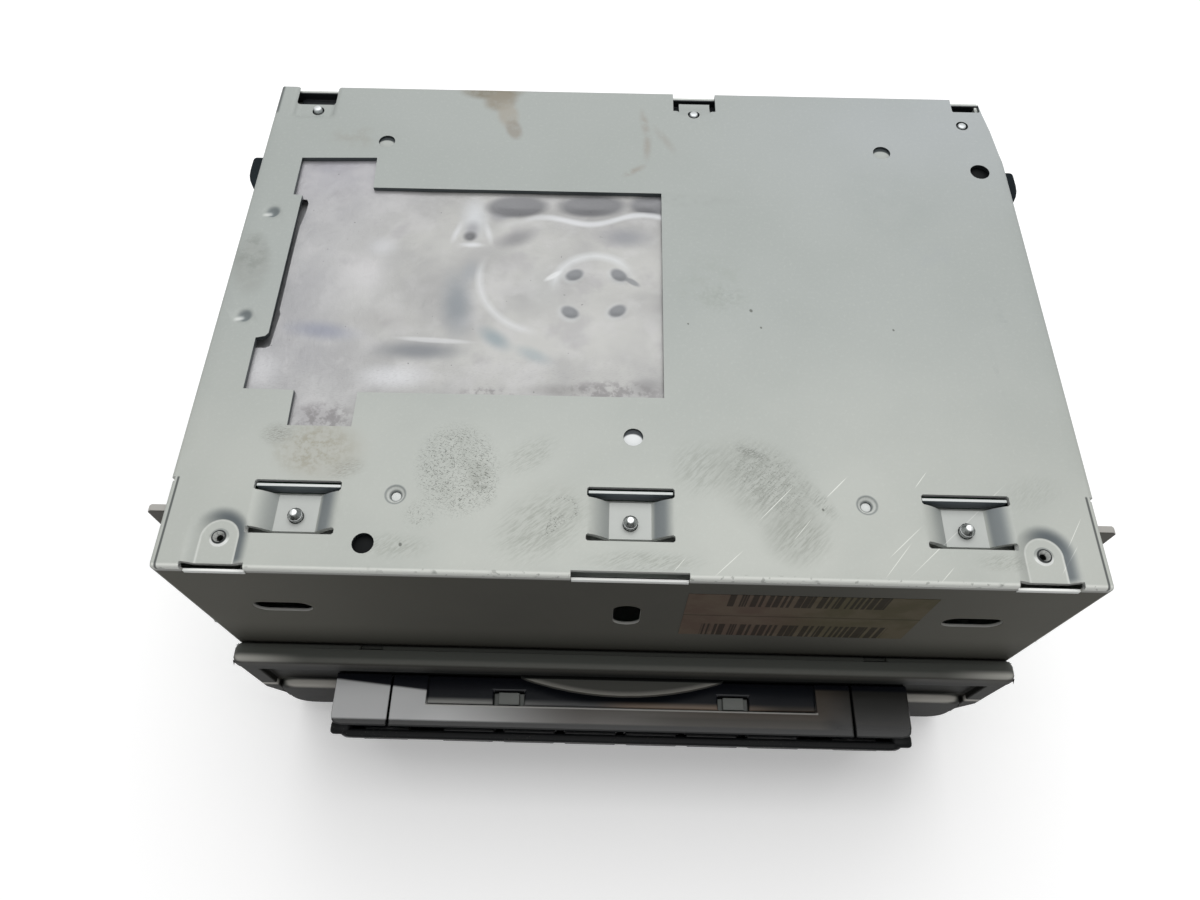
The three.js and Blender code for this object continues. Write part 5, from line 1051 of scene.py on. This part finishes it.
# Painted light on the top faces, painted shade where they run under the case, and a painted
# highlight along the rail's edge, brightest at both ends.
shell.lay(upward_share, "50524e")
shell.lay(upward_share * ahead.between(-64.2, -63.6), "2b2c2a")
shell.lay(ahead.between(-66.6, -67.4) * up.between(52.2, 53.0) * 0.45, "73736e")
shell.lay(ahead.between(-66.0, -67.4) * up.between(52.0, 53.0) * at_ends * 0.8, "c3c2bb")
# Painted shade under the rail and below the lower rail, with a painted highlight on the lower
# rail's top edge.
under_rail = up.between(52.2, 48.0) * up.between(30.6, 31.2) * ahead.between(-68.6, -68.3)
shell.lay(under_rail * (1 - at_ends * 0.35), "0f100f")
lower_edge = up.between(29.0, 30.2) * up.between(31.4, 31.1) * ahead.between(-66.2, -67.0)
shell.lay(lower_edge, "c2bfb8")
shell.lay(up.between(29.2, 28.4), "1c1b1a")
from_rim = ahead - ((along * along) * LIP_CURVE + LIP_RIM)
shell.lay(ahead.between(-68.4, -68.9) * 0.6, "4a4945")
# A painted highlight on the rim of the slot's lip.
on_rim = from_rim.between(1.3, 0.3) * ahead.between(-68.4, -68.8) * upward_share
shell.lay(on_rim * 0.8, "8b8983")
pebbles = shell.bump(shell.noise(0.5, 2.0), 0.012)
fascia_plastic = shell.done(Roughness=0.5, Specular_IOR_Level=0.06, Normal=pebbles)
dress(["fascia_frame"], fascia_plastic, 0.35, 3)

# %% [markdown]
# The key bar is glossy black. Its top would mirror something pale on the left and
# something brown and dark on the right, which this plain studio doesn't have, so a
# painted reflection along the bar stands in for it. The pocket between the blocks has
# painted shade, with painted reflections at its front, and the step in front of it a
# painted highlight. The bezel below is plain black.

# %% The glossy bar
bar = Finish("gloss black plastic")
along, ahead = bar.mm("X"), bar.mm("Y")
# Painted reflection on the top: pale on the left, brown and dark to the right, with paler and
# darker bands.
bar.start(along.between(-52, -8), "dcdddd", "625f5b")
bar.lay(along.between(0, 30), "4e4740")
bar.lay(along.between(46, 58), "2b2b29")
bar.lay(ahead.between(-71.0, -77.5) * along.between(-40, -52) * 0.35, "9c9d9f")
bar.lay(ahead.between(-74.6, -75.6) * along.between(-5, 18) * 0.7, "38362f")
bar.lay(ahead.between(-73.0, -77.0) * along.between(47, 52), "151515")
# Painted shade in the pocket, with painted reflections at its front.
in_pocket = along.size().between(47.4, 47.0) * ahead.between(-73.4, -73.0)
bar.lay(in_pocket, "14171c")
glow = bar.mix(along.between(-40, -12), colour("b9b9b5"), colour("6a6b6b"))
glow = bar.mix(along.between(-8, 4), glow, colour("a08e7e"))
glow = bar.mix(along.between(24, 40), glow, colour("4c443c"))
bar.lay(in_pocket * ahead.between(-71.3, -73.0) * 0.85, glow)
# A painted highlight on the step in front of the pocket.
step_edge = along.size().between(47.6, 47.2) * (ahead + 73.5).size().between(0.35, 0.1)
bar.lay(step_edge * 0.7, "dcdbd6")
# Painted shade along the back of the top, slanting at the left, and along its rounded front.
slant = (along + 70) * 0.1 * along.between(-20, -40)
bar.lay((ahead + 68.2 + slant).between(0.0, 0.7), "17191e")
bar.lay(ahead.between(-76.9, -77.5), "1c1d1d")
bar.lay(1 - bar.facing("Z", 0.5, 0.9), "151617")
gloss_plastic = bar.done(Roughness=0.22, Specular_IOR_Level=0.3)
bezel_plastic = moulded("bezel plastic", "101112", "151617", 0.35, 8.0, 0.02, 0.08)
dress(["bar_housing", "bar_face"], gloss_plastic, 0.5, 3)
dress(["bar_bezel"], bezel_plastic, 0.5, 3)

# %% [markdown]
# The moulding runs round the bar's ends in a soft corner, behind the bezel. A leaning
# block at each end stands for it: its foot is moved back by as much as the bar leans.

# %% The soft ends of the bar
BAR_LEAN = 5.9
END_NEAR, END_FAR, END_FRONT, END_REAR, END_FOOT, END_TOP = 64.5, 69.4, -80.9, -77.6, 11.0, 37.4
END_SOFT = 1.0
ends = bmesh.new()
for side in (-1, 1):
    near, far = sorted((side * END_NEAR, side * END_FAR))
    for corner in block(ends, near, far, END_FRONT, END_REAR, END_FOOT, END_TOP):
        if corner.co.z < (END_FOOT + END_TOP) / 2 * MM:
            corner.co.y += BAR_LEAN * MM
bevel_all(ends, END_SOFT, 4)
settle(ends, "bar_ends", [bezel_plastic])
print("soft ends lean by mm:", BAR_LEAN)

# %% [markdown]
# Turned and drawn metal parts are bright: rods, screws, motor cans and the die cast
# turntable. They need a high metallic value and fine rings or grain.

# %% Bright metals
def bright(name, dark, light, rough, metal=1.0, size=0.5):
    finish = Finish(name)
    grain = finish.noise(size, 4.0, rough=0.7)
    finish.start(grain, dark, light)
    shine = grain * 0.15 + (rough - 0.07)
    return finish.done(Roughness=shine, Metallic=metal, Normal=finish.bump(grain, 0.006))


screw_metal = bright("zinc plated screw", "9a9c9c", "c9cccb", 0.25)
rod_steel = bright("ground rod steel", "b4b6b8", "d2d4d5", 0.18)
motor_can = bright("motor can", "a7a9a8", "c0c2c1", 0.3)
cast_metal = bright("cast metal", "8f9192", "aaacad", 0.42, 0.9, 1.2)
sink_metal = bright("heat sink aluminium", "a3a6a8", "c2c5c6", 0.35)
socket_metal = bright("nickel plate", "b0aea6", "d0cec5", 0.25)
foil = bright("foil laminate", "a5a6a8", "b9babc", 0.35, 0.3, 6.0)
dress(["left_bridge_screw", "middle_bridge_screw", "right_bridge_screw"], screw_metal, 0.15)
dress(["front_rod", "rear_rod", "lead_screw", "loading_roller"], rod_steel, 0.08)
dress(["spindle_motor", "sled_motor", "loading_motor"], motor_can, 0.2)
dress(["turntable", "pickup_sled"], cast_metal, 0.12)
dress(["heat_sink"], sink_metal, 0.2)
dress(["aerial_sockets", "tuner_box"], socket_metal, 0.15)
dress(["shield_plate"], foil, 0.3)

# %% [markdown]
# The window shows a soft foil shield that lies nearly level with the cover. Fingers
# and tools have dented it: a gutter with three ovals, a wavy ridge, a small tear, a
# large arc and four lobes like a clover leaf. The blank is trimmed to its outline, and
# a rule of dents gives each of its points a depth, as with the cover.

# %% The dented foil
FOIL_TOP, FOIL_THICKNESS = 98.85, 0.15
FOIL_OUTLINE = [
    (-82, 44.5), (-82, 29.9), (-77, 29.8), (-76.5, 28.6), (-76.6, 25.4), (-77.2, 21.4),
    (-77.2, -2.6), (-76.8, -3.8), (-77.2, -10), (-77.4, -12.4), (-78.4, -12.9), (-82, -12.9),
    (-82, -25.5), (-72, -25.5), (-72, -34.5), (-54.5, -34.5), (-54.5, -25.6), (8.5, -25.6),
    (8.5, 34.6), (-60, 34.6), (-60, 44.5),
]
GUTTER = [(-27.3, 28.7, 6.8), (-10.4, 29.2, 7), (3.2, 30.5, 3.8)]
LOBES = [(-13, 8.8), (-3, 9.1), (-13.6, -1.7), (-3.2, -1)]
TEAR = (-37.6, 19.5)
ARC_PLACE, ARC_RADIUS = (-18.7, 8.3), 15.6
RIDGE_X, RIDGE_Y, RIDGE_RISE, RIDGE_HEIGHT, RIDGE_WAVE = -21, 25.6, 0.06, 1.3, 23
SKIN_SIZE, SKIN_MIDDLE, SKIN_GRID = (92, 81, 1), (-37.0, 5.0, 0), (110, 96)


def hump(x, y, half_x, half_y):
    """1 in the middle of an oval hump, 0 at its rim and beyond."""
    return eased(1.0 - math.hypot(x / half_x, y / half_y))


def ridge_line(x):
    """The wavy ridge's Y in mm."""
    turn = math.tau * (x - RIDGE_X) / RIDGE_WAVE
    return RIDGE_Y + RIDGE_RISE * x + RIDGE_HEIGHT * math.cos(turn)


def foil_depth(x, y):
    depth = 0.07 * math.sin(0.21 * x + 1.3 * math.sin(0.13 * y))
    depth += 0.05 * math.sin(0.27 * y + 0.07 * x)
    for px, py, half in GUTTER:
        depth += 0.5 * hump(x - px, y - py, half + 1.5, 3.8)
    if x > -36:
        depth -= 0.25 * hump(0, y - ridge_line(x), 1, 2.2) * eased((x + 36) / 6)
    for px, py in LOBES:
        depth += 0.45 * hump(x - px, y - py, 3.2, 2.6)
    off_x, off_y = x - TEAR[0], y - TEAR[1]
    depth += 0.5 * hump(off_x, off_y, 2.6, 2.8) - 0.3 * hump(off_x - 0.8, off_y - 1.5, 5.5, 6.5)
    reach = math.hypot(x - ARC_PLACE[0], y - ARC_PLACE[1])
    depth -= 0.25 * eased((ARC_RADIUS - reach) / 3.0) * eased((-y + 20) / 10) * eased((-x - 5) / 20)
    return depth


def trim(shape, ring, margin=MARGIN):
    """Cuts a sheet to an outline: the faces outside it fall off."""
    score_outline(shape, ring, margin)
    scrap = [face for face in shape.faces if not inside(face.calc_center_median(), ring)]
    bmesh.ops.delete(shape, geom=scrap, context="FACES")


skin = bmesh.new()
bmesh.ops.create_grid(skin, x_segments=SKIN_GRID[0], y_segments=SKIN_GRID[1], size=0.5)
bmesh.ops.scale(skin, verts=skin.verts, vec=SKIN_SIZE)
bmesh.ops.translate(skin, verts=skin.verts, vec=SKIN_MIDDLE)
trim(skin, FOIL_OUTLINE)
for corner in skin.verts:
    corner.co.z = min(FOIL_TOP - foil_depth(corner.co.x, corner.co.y), FOIL_TOP + 0.1)
bmesh.ops.scale(skin, verts=skin.verts, vec=(MM, MM, MM))
print("faces of the foil:", len(skin.faces))

# %% [markdown]
# The foil is bright but not a mirror. Its soft clouds of lilac and warm grey are painted
# reflections, and each dent has painted shade on its dark side and a painted highlight on
# its pale rim, laid on as ovals and lines; a few smudges and specks are dirt.

# %% The foil's finish
# Painted reflections, light and dark, and one smudge: place and half sizes in mm, turn in degrees,
# colour, strength and softness.
FOIL_SHEEN_AND_SMUDGES = [
    (-50, -19.5, 11, 4.5, 0, "dcdde0", 0.7, 0.9), (-60, 8, 8, 9, 0, "d2d1d2", 0.5, 0.9),
    (-57, 16, 5, 4, 0, "d8d9dc", 0.5, 0.9), (-67, -8.1, 11, 3.5, -6, "8f93a3", 0.75, 0.9),
    (-45.5, -12.7, 13.5, 3.6, 0, "75797e", 0.9, 0.9),
    (-29.5, -9.2, 6, 3, -38, "87969c", 0.8, 0.9), (-21, -13.2, 6, 2.5, -25, "92a0a5", 0.6, 0.9),
    (-38.6, 0, 5.2, 12.5, 8, "80878d", 0.85, 0.9), (-36.5, 9, 3, 5, -10, "989da2", 0.6, 0.9),
    (-26.5, 19.3, 7.5, 3.6, 26, "848486", 0.85, 0.9),
    (-1.5, 20, 8.5, 4.4, 0, "8c8e93", 0.85, 0.9), (3.1, -20.6, 5, 3, 0, "838283", 0.6, 0.9),
    (-15, -22, 12, 2.2, 0, "8f8e8c", 0.6, 0.9), (-64, -29, 5, 4, 0, "a19fa1", 0.6, 0.9),
    (-74, 40, 9, 2.5, 0, "a7a6ad", 0.6, 0.9), (-20, 5, 6, 10, 10, "b9bab8", 0.5, 0.9),
    (-36.9, 25, 4.6, 9.5, 4, "d3d6da", 0.75, 1), (-40.6, 20.6, 1.2, 4.6, -16, "e2e4e7", 0.6, 1),
    (-33.3, 20.6, 1.2, 4.6, 16, "e2e4e7", 0.5, 1), (-36.9, 16.9, 3.8, 1.1, 0, "e2e4e7", 0.75, 1),
    (-37.1, 21.4, 2.6, 3.8, 0, "96979b", 0.8, 0.9),
    (-37.5, 19.5, 2.2, 1.9, 0, "626366", 0.95, 0.7),
    (-30.5, 27, 4.5, 3.4, 38, "8f9094", 0.8, 0.7),
    (-27.3, 28.9, 8.8, 4.1, 4, "747578", 0.95, 0.4),
    (-9.6, 29.6, 9.6, 4.1, 2, "747578", 0.95, 0.4), (4.6, 30.4, 6.4, 4, 2, "7c7d81", 0.9, 0.4),
    (-79, -18.5, 7, 7, 0, "dcdcde", 0.7, 0.9), (-55, -5, 14, 5, 0, "a3a2a1", 0.5, 0.9),
    (-46, 3, 8, 8, 0, "a2a2a1", 0.5, 0.9),
]
DIM = 0.74
film = Finish("shield foil")
along, ahead = film.mm("X"), film.mm("Y")
# Painted reflections: soft clouds of warm grey and lilac.
film.start(film.noise(17, 3.0).between(0.35, 0.65), "a9a9a8", "bebebb", DIM)
film.lay(along.between(-48, -74) * 0.4, "b1b1b8")
film.lay(ahead.between(20, 44) * along.between(-40, -60) * 0.5, "b3b1bb")
film.lay(film.noise(6.0, 3.0).between(0.45, 0.7) * 0.35, "cbcacb")
film.lay(film.noise(8.5, 3.0).between(0.55, 0.75) * 0.4, "979599")
for x, y, half_x, half_y, degrees, code, amount, soft in FOIL_SHEEN_AND_SMUDGES:
    film.lay(film.oval(x, y, half_x, half_y, degrees, soft) * amount, code)

# Painted highlights along the wavy ridge, on the large arc, on a halo and on short lines.
wave = ((along - RIDGE_X) * (math.tau / RIDGE_WAVE)).cosine() * RIDGE_HEIGHT
wave = wave + along * RIDGE_RISE + RIDGE_Y
shown = along.between(-27, -17) * 0.8 + along.between(-33, -29) * 0.2
ridge = (ahead - wave).size().between(1.3, 0.2) * shown
film.lay(ridge * 0.75, "dfe1e4")
arc = film.ring(*ARC_PLACE, ARC_RADIUS, 1.3) * along.between(-19, -26) * ahead.between(14, 8)
film.lay(arc * 0.55, "dcdee0")
halo = film.ring(-8.2, 5.0, 9.3, 1.6) * ahead.between(3.5, 8.5) * along.between(2, -4)
film.lay(halo * 0.65, "dcdfe1")
film.lay(film.line(-19.4, 7.0, -16.0, 9.6, 0.9) * 0.7, "e4e6e7")
# Each lobe: a painted highlight round it and painted shade in it.
for (x, y), turn in zip(LOBES, (28, -40, -30, 35)):
    film.lay(film.oval(x - 0.3, y - 0.4, 3.3, 2.7, turn, 0.5) * 0.6, "c7c9ca")
    film.lay(film.oval(x, y, 2.7, 1.9, turn, 0.45) * 0.9, "74777b")
# A line of painted shade, and a long painted highlight.
film.lay(film.line(-1.5, 8.2, 1.4, 6.2, 1.0) * 0.8, "7b7e82")
film.lay(film.line(-52.0, -9.4, -33.0, -10.4, 0.9) * 0.5, "dddee0")
smudges = [(-63.0, -30.0, 8.0, 5.0), (-4.0, -22.5, 15.0, 4.0), (-30.0, -23.5, 8.0, 2.5)]
smudged = strongest(*(film.oval(*smudge) for smudge in smudges))
film.lay(smudged * film.noise(2.4, 4.0, rough=0.65).between(0.42, 0.6) * 0.75, "7d7a7b")
specks = film.noise(1.3, 2.0).between(0.74, 0.78)
film.lay(specks * 0.6, "5f5f60")
brushed = film.noise(0.9, 3.0, film.combed(15, 8)).between(0.5, 0.75)
film.lay(brushed * ahead.between(-8, -20) * 0.4, "8b898a")
creases = film.noise(3.0, 4.0, wander=0.6) * 3.0 + film.noise(0.9, 3.0)
film_shine = film.noise(9, 3.0) * 0.2 + 0.28
foil_skin = film.done(Roughness=film_shine, Metallic=0.2, Normal=film.bump(creases, 0.03))
solid_foil = ("SOLIDIFY", {"thickness": FOIL_THICKNESS * MM, "offset": -1})
skin_piece = settle(skin, "foil_skin", [foil_skin], modifiers=[solid_foil])

# %% [markdown]
# A worn paper label sticks on the front plate; its dark brown tone holds painted shade,
# as the plate's does. Paper is a thin block. Its print is left out, apart from plain bars
# without meaning in two rows and a thin line.

# %% The bare label
LABEL_LEFT, LABEL_RIGHT, LABEL_FOOT, LABEL_TOP = 11.6, 60.0, 66.4, 92.0
PAPER_FRONT, PAPER_REAR = -63.3, -63.18
paper = Finish("label paper")
along, up = paper.mm("X"), paper.mm("Z")
# Dark brown paper in painted shade.
paper.start(along.between(26, 44), "5c4e45", "55503f")
paper.lay(paper.noise(6, 3.0).between(0.4, 0.65) * 0.4, "6d6456")
stripes = paper.noise(1.1, 1.0, paper.stretched((1, 0, 0))).between(0.46, 0.5)
upper_row = up.between(85.2, 85.5) * along.between(19.2, 19.6) * along.between(51.2, 50.8)
lower_row = up.between(74.2, 73.9) * along.between(15.8, 16.2) * along.between(55.2, 54.8)
paper.lay(stripes * upper_row.most(lower_row) * 0.8, "1d1a17")
paper.lay((up - 79.5).size().between(0.35, 0.2) * 0.5, "1d1a17")
label_paper = paper.done(Roughness=0.7, Specular_IOR_Level=0.05)
sheet = bmesh.new()
block(sheet, LABEL_LEFT, LABEL_RIGHT, PAPER_FRONT, PAPER_REAR, LABEL_FOOT, LABEL_TOP)
label = settle(sheet, "front_label", [label_paper])
print("label in mm:", round(LABEL_RIGHT - LABEL_LEFT, 1), "by", round(LABEL_TOP - LABEL_FOOT, 1))

# %% [markdown]
# The circuit boards are green with copper tracks under the lacquer. The display is a
# dark glass with a module behind it.

# %% Boards and display
board = Finish("circuit board")
board.start(board.cells(2.2).between(0.1, 0.5), "1d4a2c", "2c6a3e")
dress(["main_board", "map_board", "key_board"], board.done(Roughness=0.35), 0.1)
dress(["sound_amp"], black_plastic, 0.15)
glass = moulded("display glass", "0b0c0e", "101215", 0.08, 10.0, 0.002, 0.6)
dress(["display_lens"], glass, 0.3)
dress(["display_panel"], key_plastic, 0.2)
